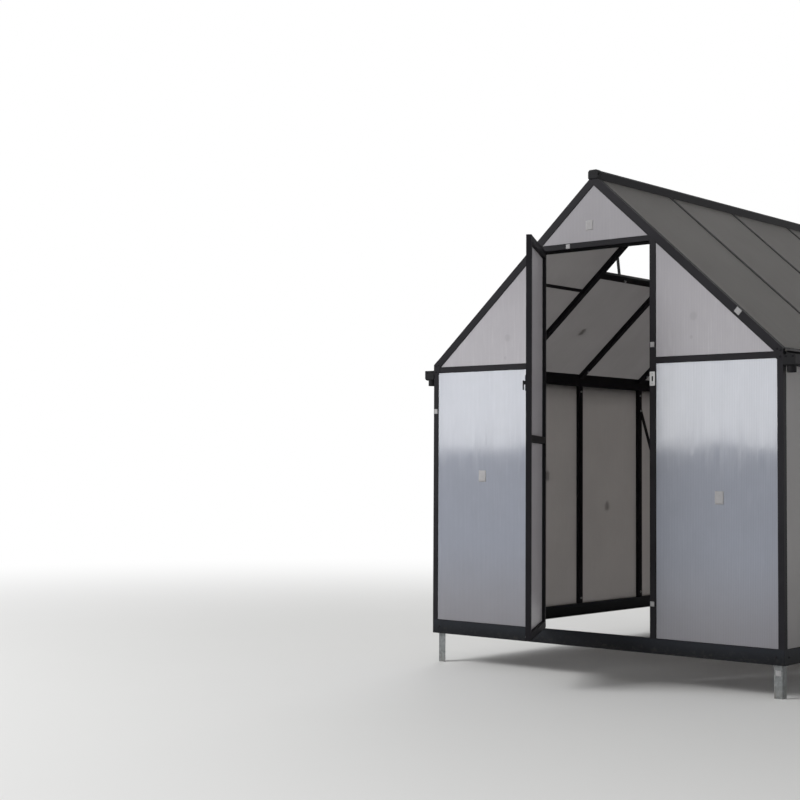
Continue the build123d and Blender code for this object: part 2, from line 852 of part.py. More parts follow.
def hinge_level(z):
    """Level plane through the hinge axis, with sketch x along the leaf and sketch y behind it."""
    return Plane(origin=hinge_axis + Vector(0, 0, z), x_dir=leaf_along, z_dir=(0, 0, 1))


mid_rail_z = base_bottom + mid_rail_height
door_lights = (
    (leaf_low + leaf_bar, mid_rail_z - leaf_bar / 2),
    (mid_rail_z + leaf_bar / 2, leaf_high - leaf_bar),
)
light_near = hinge_inset + leaf_bar
light_far = leaf_end - leaf_bar
pocket_depth = hinge_proud + seat

with BuildPart() as door_frame:
    with BuildSketch(leaf_plane(leaf_back)):
        plate((hinge_inset, leaf_low), (leaf_end, leaf_high))
        for low, high in door_lights:
            plate((light_near, low), (light_far, high), Mode.SUBTRACT)
    extrude(amount=leaf_thickness)
    with BuildSketch(leaf_plane(pocket_depth)):
        for low, high in door_lights:
            plate(
                (light_near - leaf_groove, low - leaf_groove),
                (light_far + leaf_groove, high + leaf_groove),
            )
    extrude(amount=groove, mode=Mode.SUBTRACT)
save(door_frame.part, "door_frame")

leaf_sheet = leaf_groove - edge_gap

with BuildPart() as door_panels:
    with BuildSketch(leaf_plane(pocket_depth)):
        for low, high in door_lights:
            plate(
                (light_near - leaf_sheet, low - leaf_sheet),
                (light_far + leaf_sheet, high + leaf_sheet),
            )
    extrude(amount=panel)
save(door_panels.part, "door_panels")

# Hinges: two fixed knuckles and a pin on the jamb, one knuckle between them on the leaf
hinge_half = 1.5 * knuckle_height + knuckle_gap
hinge_levels = (leaf_low + hinge_end, (leaf_low + leaf_high) / 2, leaf_high - hinge_end)

with BuildPart() as jamb_hinges:
    for z in hinge_levels:
        with BuildSketch(gable_plane(front_y)):
            plate(
                (-door_half - hinge_reach, z - hinge_half),
                (hinge_x - hinge_clear, z + hinge_half),
            )
        extrude(amount=hinge_plate)
        for low in (z - hinge_half, z + hinge_half - knuckle_height):
            with BuildSketch(Plane(origin=(hinge_x, hinge_y, low))):
                Circle(knuckle_radius)
                plate((-hinge_clear - knuckle_radius, hinge_proud - hinge_plate), (0, hinge_proud))
            extrude(amount=knuckle_height)
        with BuildSketch(Plane(origin=(hinge_x, hinge_y, z - hinge_half))):
            Circle(pin_radius)
        extrude(amount=2 * hinge_half)
save(jamb_hinges.part, "jamb_hinges")

with BuildPart() as door_hinges:
    for z in hinge_levels:
        with BuildSketch(leaf_plane(hinge_proud)):
            plate((hinge_clear, z - hinge_half), (hinge_clear + hinge_reach, z + hinge_half))
        extrude(amount=hinge_plate)
        with BuildSketch(hinge_level(z - knuckle_height / 2)):
            Circle(knuckle_radius)
            plate((0, hinge_proud - hinge_plate), (hinge_clear + knuckle_radius, hinge_proud))
        extrude(amount=knuckle_height)
        with BuildSketch(hinge_level(z - knuckle_height / 2)):
            Circle(pin_radius + pin_gap)
        extrude(amount=knuckle_height, mode=Mode.SUBTRACT)
save(door_hinges.part, "door_hinges")

# Latch: a plate, a round boss and a lever on the outer face of the free stile
latch_z = base_bottom + latch_height

with BuildPart() as door_latch:
    with BuildSketch(leaf_plane(hinge_proud)):
        with Locations((latch_centre, latch_z)):
            RectangleRounded(latch_plate_width, latch_plate_height, latch_plate_width / 4)
    extrude(amount=latch_plate_thickness)
    with BuildSketch(leaf_plane(hinge_proud - latch_plate_thickness)):
        with Locations((latch_centre, latch_z)):
            Circle(latch_boss_radius)
    extrude(amount=latch_boss_height - latch_lever_thickness)
    with BuildSketch(leaf_plane(hinge_proud - latch_plate_thickness - latch_boss_height + latch_lever_thickness)):
        with Locations((latch_centre, latch_z - latch_lever_length / 4)):
            SlotOverall(latch_lever_length, latch_lever_width, rotation=90)
    extrude(amount=latch_lever_thickness)
save(door_latch.part, "door_latch")

with BuildPart() as strike_plate:
    with BuildSketch(gable_plane(front_y)):
        with Locations((door_half + jamb_face / 2, base_bottom + strike_centre)):
            RectangleRounded(strike_width, strike_height, strike_corner)
            SlotOverall(strike_slot_height, strike_slot_width, rotation=90, mode=Mode.SUBTRACT)
    extrude(amount=strike_thickness)
save(strike_plate.part, "strike_plate")
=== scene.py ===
import json
import math

import bmesh
import bpy
import numpy as np
from mathutils import Matrix, Vector


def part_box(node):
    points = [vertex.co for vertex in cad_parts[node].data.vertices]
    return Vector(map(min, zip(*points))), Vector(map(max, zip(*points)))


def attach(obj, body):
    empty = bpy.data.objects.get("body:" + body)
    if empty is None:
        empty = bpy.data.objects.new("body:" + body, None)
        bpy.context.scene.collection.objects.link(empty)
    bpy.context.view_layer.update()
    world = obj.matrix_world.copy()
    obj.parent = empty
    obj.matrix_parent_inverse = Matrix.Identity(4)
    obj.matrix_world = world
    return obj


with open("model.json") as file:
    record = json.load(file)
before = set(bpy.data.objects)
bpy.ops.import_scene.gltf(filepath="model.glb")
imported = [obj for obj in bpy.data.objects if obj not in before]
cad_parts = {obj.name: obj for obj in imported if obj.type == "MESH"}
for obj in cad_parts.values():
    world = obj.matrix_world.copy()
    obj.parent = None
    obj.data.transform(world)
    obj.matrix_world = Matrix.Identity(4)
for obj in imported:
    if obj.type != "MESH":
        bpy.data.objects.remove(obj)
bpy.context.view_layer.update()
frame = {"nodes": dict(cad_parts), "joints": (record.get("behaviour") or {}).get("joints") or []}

nodes = frame["nodes"]
print("frame loaded:", len(nodes), "nodes")

# Sizes of the bars and sheets, in metres, and the pitch in degrees
bars = {
    "pitch": 41.75,
    "depth": 0.027,
    "face": 0.037,
    "cap": 0.022,
    "seat": 0.0084,
    "rakeFace": 0.036,
    "postFace": 0.027,
    "overhang": 0.012,
    "sheet": 0.006,
}

# Places read from the frame
postLow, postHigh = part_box("corner_posts")
halfWidth = postHigh.x
frontY = postLow.y
rearY = postHigh.y
baseTop = postLow.z
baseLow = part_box("base_sides")[0].z
studLow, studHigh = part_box("wall_studs_right")
pitch = math.radians(bars["pitch"])
bayLines = np.linspace(studLow.y + bars["face"] / 2, studHigh.y - bars["face"] / 2, 3)
bay = bayLines[1] - bayLines[0]
bayLines = np.concatenate([[bayLines[0] - bay], bayLines, [bayLines[-1] + bay]])
bayCount = len(bayLines) - 1
ventBay = 1        # the second bay of the left slope has the vent
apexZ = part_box("front_rakes")[1].z
eaveZ = apexZ - halfWidth * math.tan(pitch)
crossbarLow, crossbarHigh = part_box("front_crossbars")
headerLow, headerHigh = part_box("door_header")
doorHalf = headerHigh.x
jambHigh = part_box("jamb_left")[1]
hinge = frame["joints"][0]
doorOpen = math.radians(-hinge["range_deg"][0])        # the joint's lower limit is the closed door
leafAlong = np.array([math.cos(doorOpen), -math.sin(doorOpen), 0.0])
leafInto = np.array([math.sin(doorOpen), math.cos(doorOpen), 0.0])
hingeFoot = np.array([hinge["pos_m"][0], hinge["pos_m"][1], 0.0])


# Camera: a short telephoto at the photograph's angle, placed from the front gable's face
cameraView = {
    "lens": 69.56,
    "yaw": 40.775,
    "pitch": 2.451,
    "roll": 0.321,
    "fromFront": (3.9638, -5.9578, 0.966),
    "farthest": 200.0,
}


def placeCamera(view):
    yaw, tilt, roll = (math.radians(view[k]) for k in ("yaw", "pitch", "roll"))
    forward = Vector((-math.sin(yaw) * math.cos(tilt), math.cos(yaw) * math.cos(tilt), math.sin(tilt)))
    right = Vector((math.cos(yaw), math.sin(yaw), 0.0))
    up = right.cross(forward)
    rolledRight = right * math.cos(roll) + up * math.sin(roll)
    rolledUp = up * math.cos(roll) - right * math.sin(roll)
    lens = bpy.data.cameras.new("camera")
    lens.lens = view["lens"]
    lens.clip_end = view["farthest"]
    camera = bpy.data.objects.new("camera", lens)
    stand = Matrix((rolledRight, rolledUp, -forward)).transposed().to_4x4()
    stand.translation = Vector(view["fromFront"]) + Vector((0.0, frontY, 0.0))
    camera.matrix_world = stand
    bpy.context.scene.collection.objects.link(camera)
    bpy.context.scene.camera = camera


placeCamera(cameraView)
bpy.context.scene.view_settings.view_transform = "Standard"
print("camera placed")


class Value:
    # an output socket of a node; an operator on it adds the Math node that works it out
    def __init__(self, finish, socket):
        self.finish = finish
        self.socket = socket

    def maths(self, operation, *values):
        return self.finish.add("ShaderNodeMath", {"operation": operation}, dict(enumerate(values)))

    def __add__(self, other):
        return self.maths("ADD", self, other)

    __radd__ = __add__

    def __sub__(self, other):
        return self.maths("SUBTRACT", self, other)

    def __rsub__(self, other):
        return self.maths("SUBTRACT", other, self)

    def __mul__(self, other):
        return self.maths("MULTIPLY", self, other)

    def __truediv__(self, other):
        return self.maths("DIVIDE", self, other)

    def __abs__(self):
        return self.maths("ABSOLUTE", self)

    def fraction(self):
        return self.maths("FRACT", self)

    def atLeast(self, other):
        return self.maths("MAXIMUM", self, other)

    def ramp(self, low, high):
        # 0 at low, 1 at high, with an eased curve between them
        settings = {"interpolation_type": "SMOOTHSTEP"}
        return self.finish.add("ShaderNodeMapRange", settings, {0: self, 1: low, 2: high})


class Finish:
    # the nodes of a material or of the world
    def __init__(self, holder):
        holder.use_nodes = True
        self.holder = holder
        self.tree = holder.node_tree
        self.tree.nodes.clear()

    def add(self, kind, settings, inputs, output=0):
        # one node: its settings first, then a number, colour or Value for each socket
        made = self.tree.nodes.new(kind)
        for key, value in settings.items():
            setattr(made, key, value)
        for key, value in inputs.items():
            if isinstance(value, Value):
                self.tree.links.new(value.socket, made.inputs[key])
            else:
                made.inputs[key].default_value = value
        return Value(self, made.outputs[output]) if len(made.outputs) else None

    def place(self):
        return self.add("ShaderNodeTexCoord", {}, {}, "Object")

    def parts(self, vector):
        return [self.add("ShaderNodeSeparateXYZ", {}, {0: vector}, i) for i in range(3)]

    def joined(self, x, y, z):
        return self.add("ShaderNodeCombineXYZ", {}, {0: x, 1: y, 2: z})

    def noise(self, vector, scale, detail=3.0, roughness=0.55):
        # soft noise from 0 to 1 with about scale lumps a metre
        inputs = {"Vector": vector, "Scale": scale, "Detail": detail, "Roughness": roughness}
        return self.add("ShaderNodeTexNoise", {}, inputs)

    def mixed(self, amount, first, second):
        settings = {"data_type": "RGBA"}
        return self.add("ShaderNodeMix", settings, {0: amount, 6: first, 7: second}, 2)

    def bumped(self, height, normal=None):
        # height in metres
        inputs = {"Height": height, "Distance": 1.0, "Strength": 1.0}
        if normal is not None:
            inputs["Normal"] = normal
        return self.add("ShaderNodeBump", {}, inputs)

    def finished(self, shader, kind="ShaderNodeOutputMaterial"):
        self.add(kind, {}, {0: shader})
        return self.holder


def rounded(finish, radius):
    # the normal of an edge that is eased by radius, and how near such an edge is, from 0 to 1
    eased = finish.add("ShaderNodeBevel", {"samples": 4}, {"Radius": radius})
    flat = finish.add("ShaderNodeNewGeometry", {}, {}, "True Normal")
    same = finish.add("ShaderNodeVectorMath", {"operation": "DOT_PRODUCT"}, {0: eased, 1: flat}, 1)
    return eased, (1.0 - same).ramp(0.02, 0.25)


def barCoordinates(finish, run):
    # Object coordinates with the bar's own length last: x, y and z bars, and the two roof slopes
    x, y, z = finish.parts(finish.place())
    if run == "x":
        return finish.joined(y, z, x)
    if run == "y":
        return finish.joined(x, z, y)
    if run == "slope":
        out = abs(x)
        up = z * math.cos(pitch) + out * math.sin(pitch)
        return finish.joined(up, y, z * math.sin(pitch) - out * math.cos(pitch))
    return finish.joined(x, y, z)


# Powder coat: colours, shares of wear and dust, roughness, gloss, edge radius and the heights in its surface
powderCoat = {
    "colour": (0.0112, 0.0106, 0.0128, 1.0),
    "paler": (0.0198, 0.0188, 0.0222, 1.0),
    "worn": (0.09, 0.09, 0.095, 1.0),
    "dust": (0.06, 0.056, 0.05, 1.0),
    "wear": 0.8,
    "dusty": 0.16,
    "rough": 0.38,
    "gloss": 0.08,
    "edge": 0.0006,
    "peelHeight": 0.00004,
    "lineHeight": 0.00003,
}


def coatedBar(name, run, look=powderCoat):
    # powder coat on an extrusion: fine orange peel, faint lines along the bar, worn edges and dust
    f = Finish(bpy.data.materials.new(name))
    place = barCoordinates(f, run)
    stretched = f.add("ShaderNodeMapping", {}, {"Vector": place, "Scale": (1.0, 1.0, 0.012)})
    lines = f.noise(stretched, 420.0, 2.0)
    peel = f.noise(place, 1400.0, 1.0)
    patches = f.noise(place, 5.0, 4.0)
    specks = f.noise(place, 260.0, 3.0, 0.7)
    eased, nearEdge = rounded(f, look["edge"])
    worn = nearEdge * specks.ramp(0.52, 0.68) * patches.ramp(0.42, 0.66)
    up = f.parts(f.add("ShaderNodeNewGeometry", {}, {}, "Normal"))[2]
    dusty = up.ramp(0.25, 0.95) * f.noise(place, 34.0, 5.0, 0.65).ramp(0.3, 0.75)
    colour = f.mixed(patches.ramp(0.3, 0.72) * 0.6 + lines * 0.25, look["colour"], look["paler"])
    colour = f.mixed(dusty * look["dusty"], colour, look["dust"])
    colour = f.mixed(worn * look["wear"], colour, look["worn"])
    rough = look["rough"] + patches * 0.12 + dusty * 0.25 + lines * 0.06
    height = peel * look["peelHeight"] + lines * look["lineHeight"]
    surface = f.add("ShaderNodeBsdfPrincipled", {}, {
        "Base Color": colour,
        "Roughness": rough,
        "Specular IOR Level": look["gloss"],
        "Normal": f.bumped(height, eased),
    })
    return f.finished(surface)


paintedSteel = {
    # colour is the dark tone, painted shade low on the base, and paler the tone towards its top and in
    # patches
    "colour": (0.0045, 0.0050, 0.0064, 1.0),
    "paler": (0.0185, 0.0210, 0.0265, 1.0),
    "scratch": (0.075, 0.078, 0.085, 1.0),
    "mud": (0.085, 0.077, 0.064, 1.0),
    "scratched": 0.35,
    "wear": 0.6,
    "muddy": 0.3,
    "rough": 0.38,
    "gloss": 0.1,
    "edge": 0.0012,
    "splashTop": 0.06,
    "waveHeight": 0.0008,
    "grainHeight": 0.00003,
}


def foldedSteel(name, look=paintedSteel):
    # painted sheet steel: paler towards its top, as painted shade darkens its lower part, with long soft
    # waves, hairline scratches and a few splashes
    f = Finish(bpy.data.materials.new(name))
    place = f.place()
    height = f.parts(place)[2]
    patches = f.noise(place, 7.0, 4.0)
    waves = f.noise(place, 3.2, 1.0)
    askew = {"Vector": place, "Rotation": (0.3, 0.5, 0.2), "Scale": (1, 1, 22)}
    hairs = f.noise(f.add("ShaderNodeMapping", {}, askew), 26.0, 2.0, 0.8).ramp(0.70, 0.76)
    eased, nearEdge = rounded(f, look["edge"])
    low = 1.0 - height.ramp(baseLow, baseLow + look["splashTop"])
    splash = f.noise(place, 60.0, 5.0, 0.7).ramp(0.5, 0.72) * low
    worn = nearEdge * f.noise(place, 190.0, 3.0).ramp(0.5, 0.66)
    # painted shade: darker towards the base's underside, paler towards its top
    upper = height.ramp(baseLow, baseTop)
    colour = f.mixed(upper * 0.6 + patches * 0.35, look["colour"], look["paler"])
    colour = f.mixed(hairs * look["scratched"] + worn * look["wear"], colour, look["scratch"])
    colour = f.mixed(splash * look["muddy"], colour, look["mud"])
    relief = waves * look["waveHeight"] + f.noise(place, 900.0, 1.0) * look["grainHeight"]
    surface = f.add("ShaderNodeBsdfPrincipled", {}, {
        "Base Color": colour,
        "Roughness": look["rough"] + patches * 0.14 + splash * 0.3,
        "Specular IOR Level": look["gloss"],
        "Normal": f.bumped(relief, eased),
    })
    return f.finished(surface)


zincCoat = {
    "spangle": 85.0,
    "edge": 0.0007,
    "dark": (0.125, 0.132, 0.134, 1.0),
    "bright": (0.25, 0.26, 0.262, 1.0),
    "stain": (0.13, 0.12, 0.10, 1.0),
    "stainTop": 0.07,
    "metal": 0.85,
    "rough": 0.34,
    "crystalHeight": 0.00004,
    "streakHeight": 0.00008,
}


def galvanised(name, look=zincCoat):
    # zinc crystals: cells of unlike grey and gloss, with stains near the ground
    f = Finish(bpy.data.materials.new(name))
    place = f.place()
    crystals = {"Vector": place, "Scale": look["spangle"]}
    grey = f.parts(f.add("ShaderNodeTexVoronoi", {"feature": "F1"}, crystals, "Color"))[0]
    streaks = f.noise(f.add("ShaderNodeMapping", {}, {"Vector": place, "Scale": (1, 1, 0.2)}), 60.0, 4.0)
    low = 1.0 - f.parts(place)[2].ramp(0.0, look["stainTop"])
    eased, nearEdge = rounded(f, look["edge"])
    colour = f.mixed(grey * 0.7 + streaks * 0.3, look["dark"], look["bright"])
    colour = f.mixed(low * streaks.ramp(0.35, 0.7) * 0.6, colour, look["stain"])
    colour = f.mixed(nearEdge * 0.3, colour, look["bright"])
    surface = f.add("ShaderNodeBsdfPrincipled", {}, {
        "Base Color": colour,
        "Metallic": look["metal"] - low * 0.3,
        "Roughness": look["rough"] + grey * 0.2 + streaks * 0.12,
        "Normal": f.bumped(grey * look["crystalHeight"] + streaks * look["streakHeight"], eased),
    })
    return f.finished(surface)


blackPlastic = {
    "colour": (0.008, 0.008, 0.009, 1.0),
    "paler": (0.026, 0.026, 0.028, 1.0),
    "rough": 0.5,
    "gloss": 0.1,
    "edge": 0.0009,
    "grainHeight": 0.00006,
}


def mouldedPlastic(name, look=blackPlastic):
    # moulded plastic: spark-eroded grain, slight chalking on top and eased edges
    f = Finish(bpy.data.materials.new(name))
    place = f.place()
    grain = f.noise(place, 1700.0, 2.0, 0.7)
    patches = f.noise(place, 22.0, 4.0)
    eased, nearEdge = rounded(f, look["edge"])
    up = f.parts(f.add("ShaderNodeNewGeometry", {}, {}, "Normal"))[2]
    chalk = up.ramp(0.2, 1.0) * patches.ramp(0.3, 0.8)
    shade = f.mixed(patches * 0.35 + chalk * 0.3 + nearEdge * 0.2, look["colour"], look["paler"])
    surface = f.add("ShaderNodeBsdfPrincipled", {}, {
        "Base Color": shade,
        "Roughness": look["rough"] + grain * 0.16 + chalk * 0.1,
        "Specular IOR Level": look["gloss"],
        "Normal": f.bumped(grain * look["grainHeight"], eased),
    })
    return f.finished(surface)


# Twin-wall sheet: flute is the rib spacing, through is the share of light that passes, rough is the skin's
# smoothest place; then how pale the streaks are, a painted highlight, how much darker the sheet is towards
# the ridge, painted shade, and up to footTop above the base, grime, and faint round painted shadows at x, z
# and with a radius
gableSheet = {
    "flute": 0.008,
    "colour": (0.475, 0.460, 0.490, 1.0),
    "rib": (0.395, 0.380, 0.410, 1.0),
    "cloud": (0.425, 0.410, 0.438, 1.0),
    "glow": (0.80, 0.79, 0.80, 1.0),
    "stain": (0.26, 0.25, 0.27, 1.0),
    "through": 0.36,
    "gloss": 0.45,
    "rough": 0.28,
    "streakSheen": 0.16,
    "ridgeShade": 0.65,
    "foot": 0.0,
    "footTop": 0.45,
    "bending": 1.58,
    "ribHeight": 0.00004,
    "streakHeight": 0.00013,
    "fineHeight": 0.00002,
    "waveHeight": 0.0024,
    "spotShade": 0.42,
    "shadowSpots": ((-0.496, 1.586, 0.022), (-0.508, 1.490, 0.010), (0.521, 1.632, 0.024), (0.510, 1.540, 0.010)),
}
# Lower front sheets: the same sheet, glossier and smoother, with darker, bluer colours and glow that are
# painted shade and a painted bluish reflection, and more grime at the foot
lowerSheet = dict(
    gableSheet,
    colour=(0.315, 0.338, 0.405, 1.0),
    rib=(0.27, 0.29, 0.35, 1.0),
    cloud=(0.28, 0.30, 0.36, 1.0),
    glow=(0.74, 0.77, 0.83, 1.0),
    gloss=0.85,
    rough=0.05,
    streakSheen=0.08,
    ridgeShade=0.0,
    foot=0.9,
    shadowSpots=(),
)
wallSheet = dict(
    gableSheet,
    colour=(0.50, 0.49, 0.49, 1.0),
    rib=(0.43, 0.42, 0.42, 1.0),
    cloud=(0.455, 0.445, 0.445, 1.0),
    glow=(0.86, 0.83, 0.81, 1.0),
    through=0.42,
    gloss=0.35,
    streakSheen=0.08,
    ridgeShade=0.0,
    foot=0.25,
    shadowSpots=(),
)
# Door sheets: the same sheet as the walls, with darker colours and glow that are painted shade
doorSheet = dict(
    wallSheet,
    colour=(0.42, 0.412, 0.425, 1.0),
    rib=(0.36, 0.352, 0.365, 1.0),
    cloud=(0.385, 0.377, 0.39, 1.0),
    glow=(0.80, 0.78, 0.80, 1.0),
    through=0.40,
)
# Roof sheets: the same sheet as the walls, with darker colours that are painted shade, and little gloss
roofSheet = dict(
    wallSheet,
    colour=(0.31, 0.302, 0.29, 1.0),
    rib=(0.26, 0.252, 0.24, 1.0),
    cloud=(0.27, 0.262, 0.25, 1.0),
    glow=(0.86, 0.84, 0.84, 1.0),
    gloss=0.03,
    rough=0.42,
)


def twinWallSheet(name, run, look):
    # frosted sheet: ribs every flute, broad streaks along them paled as a painted highlight, a slow wave in
    # the skin, faint grime at its foot, painted shade towards the ridge and round painted shadows
    f = Finish(bpy.data.materials.new(name))
    place = f.place()
    x, y, z = f.parts(place)
    if run == "x":
        across = x
    elif run == "leaf":
        across = x * float(leafAlong[0]) + y * float(leafAlong[1])
    else:
        across = y
    off = abs((across / look["flute"]).fraction() - 0.5) * 2.0
    rib = off.ramp(0.72, 0.98)
    lengthwise = f.joined(across, z * 0.06, across * 0.37)
    streaks = f.noise(lengthwise, 34.0, 5.0, 0.75)
    bands = f.noise(lengthwise, 75.0, 3.0, 0.8).ramp(0.38, 0.72)
    fine = f.noise(lengthwise, 110.0, 2.0)
    wave = f.noise(place, 2.1, 1.0)
    clouds = f.noise(place, 6.0, 5.0, 0.6)
    specks = f.noise(place, 120.0, 4.0, 0.7).ramp(0.66, 0.8)
    cloudy = clouds.ramp(0.3, 0.75) * 0.6 + streaks.ramp(0.4, 0.8) * 0.4
    colour = f.mixed(cloudy, look["colour"], look["cloud"])
    # painted highlight: the streaks paled towards the glow colour
    colour = f.mixed(fine.ramp(0.5, 0.74) * look["streakSheen"], colour, look["glow"])
    colour = f.mixed(rib * 0.55 + specks * 0.2, colour, look["rib"])
    foot = (1.0 - z.ramp(baseTop - 0.05, baseTop + look["footTop"])) * (0.75 + streaks * 0.5)
    # painted shade towards the ridge, and grime up to footTop above the base, both in the stain colour
    colour = f.mixed(z.ramp(eaveZ, apexZ) * look["ridgeShade"] + foot * look["foot"], colour, look["stain"])
    flat = f.joined(x, 0.0, z)
    # round painted shadows in the stain colour at the given places
    for markX, markZ, radius in look["shadowSpots"]:
        spot = f.joined(markX, 0.0, markZ)
        away = f.add("ShaderNodeVectorMath", {"operation": "DISTANCE"}, {0: flat, 1: spot}, 1)
        colour = f.mixed((1.0 - away.ramp(radius * 0.5, radius)) * look["spotShade"], colour, look["stain"])
    height = rib * look["ribHeight"] + streaks * look["streakHeight"]
    normal = f.bumped(height + fine * look["fineHeight"] + wave * look["waveHeight"])
    skin = f.add("ShaderNodeBsdfPrincipled", {}, {
        "Base Color": colour,
        "Roughness": look["rough"] + streaks.ramp(0.4, 0.9) * 0.09 + bands * 0.06 + specks * 0.2,
        "IOR": look["bending"],
        "Specular IOR Level": look["gloss"],
        "Normal": normal,
    })
    glow = f.add("ShaderNodeBsdfTranslucent", {}, {"Color": look["glow"], "Normal": normal})
    passing = look["through"] - rib * 0.14 - clouds * 0.06
    surface = f.add("ShaderNodeMixShader", {}, {0: passing, 1: skin, 2: glow})
    return f.finished(surface)


blackRubber = {
    "colour": (0.006, 0.006, 0.0065, 1.0),
    "bloom": (0.03, 0.029, 0.028, 1.0),
    "rough": 0.7,
    "gloss": 0.12,
    "grainHeight": 0.00004,
    "bloomHeight": 0.0001,
}


def rubber(name, look=blackRubber):
    # black glazing rubber: dull, with a pale bloom and fine dust in patches
    f = Finish(bpy.data.materials.new(name))
    place = f.place()
    bloom = f.noise(place, 45.0, 4.0)
    grain = f.noise(place, 2200.0, 2.0)
    surface = f.add("ShaderNodeBsdfPrincipled", {}, {
        "Base Color": f.mixed(bloom.ramp(0.45, 0.8) * 0.7 + grain * 0.1, look["colour"], look["bloom"]),
        "Roughness": look["rough"] + bloom * 0.2,
        "Specular IOR Level": look["gloss"],
        "Normal": f.bumped(grain * look["grainHeight"] + bloom * look["bloomHeight"]),
    })
    return f.finished(surface)


dulledWhite = {
    "colour": (0.60, 0.60, 0.60, 1.0),
    "chipped": (0.40, 0.39, 0.37, 1.0),
    "rough": 0.34,
    "edge": 0.0006,
    "smearHeight": 0.00005,
}


def whitePaint(name, look=dulledWhite):
    # white paint on a small plate, dulled and chipped at its edges
    f = Finish(bpy.data.materials.new(name))
    place = f.place()
    smears = f.noise(place, 130.0, 4.0)
    eased, nearEdge = rounded(f, look["edge"])
    shade = f.mixed(smears.ramp(0.45, 0.75) * 0.35 + nearEdge * 0.3, look["colour"], look["chipped"])
    surface = f.add("ShaderNodeBsdfPrincipled", {}, {
        "Base Color": shade,
        "Roughness": look["rough"] + smears * 0.2,
        "Normal": f.bumped(smears * look["smearHeight"], eased),
    })
    return f.finished(surface)


blankPaper = {
    "colour": (0.62, 0.615, 0.63, 1.0),
    "grime": (0.24, 0.23, 0.23, 1.0),
    "glow": (0.80, 0.78, 0.76, 1.0),
    "through": 0.45,
    "rough": 0.6,
    "fibreHeight": 0.00003,
    "creaseHeight": 0.0003,
}


def paperLabel(name, look=blankPaper):
    # blank sticker: paper fibre, a few soft creases and grey grime, with light that passes through the paper
    f = Finish(bpy.data.materials.new(name))
    place = f.place()
    fibre = f.noise(place, 1500.0, 3.0)
    creases = f.noise(place, 70.0, 3.0, 0.7)
    grime = creases.ramp(0.5, 0.78)
    normal = f.bumped(fibre * look["fibreHeight"] + creases * look["creaseHeight"])
    face = f.add("ShaderNodeBsdfPrincipled", {}, {
        "Base Color": f.mixed(grime * 0.5 + fibre * 0.08, look["colour"], look["grime"]),
        "Roughness": look["rough"] + fibre * 0.2,
        "Normal": normal,
    })
    passing = f.add("ShaderNodeBsdfTranslucent", {}, {"Color": look["glow"], "Normal": normal})
    share = look["through"] + fibre * 0.1
    return f.finished(f.add("ShaderNodeMixShader", {}, {0: share, 1: face, 2: passing}))


platedZinc = {
    "colour": (0.42, 0.42, 0.43, 1.0),
    "bloom": (0.60, 0.60, 0.61, 1.0),
    "rust": (0.20, 0.13, 0.08, 1.0),
    "rusty": 0.4,
    "metal": 0.95,
    "rough": 0.28,
    "bloomHeight": 0.00005,
}


def bareSteel(name, look=platedZinc):
    # zinc-plated fasteners: turned rings, a little bloom and the odd brown spot
    f = Finish(bpy.data.materials.new(name))
    place = f.place()
    bloom = f.noise(place, 240.0, 4.0)
    spots = f.noise(place, 900.0, 3.0).ramp(0.68, 0.76)
    colour = f.mixed(bloom * 0.6, look["colour"], look["bloom"])
    surface = f.add("ShaderNodeBsdfPrincipled", {}, {
        "Base Color": f.mixed(spots * look["rusty"], colour, look["rust"]),
        "Metallic": look["metal"] - spots * 0.6,
        "Roughness": look["rough"] + bloom * 0.22,
        "Normal": f.bumped(bloom * look["bloomHeight"]),
    })
    return f.finished(surface)


finishes = {
    "upright": coatedBar("coat_upright", "z"),
    "cross": coatedBar("coat_cross", "x"),
    "long": coatedBar("coat_long", "y"),
    "slope": coatedBar("coat_slope", "slope"),
    "base": foldedSteel("folded_steel"),
    "legs": galvanised("galvanised_angle"),
    "moulding": mouldedPlastic("dark_moulding"),
    "gableSheet": twinWallSheet("sheet_gable", "x", gableSheet),
    "lowerSheet": twinWallSheet("sheet_lower", "x", lowerSheet),
    "rearSheet": twinWallSheet("sheet_rear", "x", wallSheet),
    "wallSheet": twinWallSheet("sheet_wall", "y", wallSheet),
    "roofSheet": twinWallSheet("sheet_roof", "y", roofSheet),
    "leafSheet": twinWallSheet("sheet_door", "leaf", doorSheet),
    "fitting": mouldedPlastic("black_fitting", dict(blackPlastic, paler=(0.026, 0.026, 0.027, 1.0))),
    "strike": whitePaint("white_strike"),
    "label": paperLabel("blank_label"),
    "steel": bareSteel("plated_steel"),
    "rubber": rubber("glazing_rubber"),
    "peg": whitePaint("pale_peg"),
}

finishOfNode = {
    "upright": ["corner_posts", "corner_plates", "jamb_left", "jamb_right", "rear_studs", "wall_studs_left",
                "wall_studs_right", "door_frame", "door_hinges", "jamb_hinges", "wind_braces"],
    "cross": ["front_crossbars", "rear_crossbars", "door_header"],
    "long": ["eave_gutter_left", "eave_gutter_right", "ridge_beam", "purlins_left", "purlins_right",
             "vent_sill"],
    "slope": ["front_rakes", "rear_rakes", "rafters_left", "rafters_right", "vent_frame"],
    "base": ["base_ends", "base_sides"],
    "legs": ["corner_legs"],
    "moulding": ["gutter_outlets", "ridge_caps"],
    "gableSheet": ["front_gable_panels"],
    "lowerSheet": ["front_panels"],
    "rearSheet": ["rear_gable_panels", "rear_panels"],
    "wallSheet": ["wall_panels_left", "wall_panels_right"],
    "roofSheet": ["roof_panels_left", "roof_panels_right", "vent_panel"],
    "leafSheet": ["door_panels"],
    "fitting": ["door_latch", "vent_stay"],
    "strike": ["strike_plate"],
}

for finishName, members in finishOfNode.items():
    for member in members:
        nodes[member].data.materials.clear()
        nodes[member].data.materials.append(finishes[finishName])
print("finishes given to", sum(len(m) for m in finishOfNode.values()), "nodes")


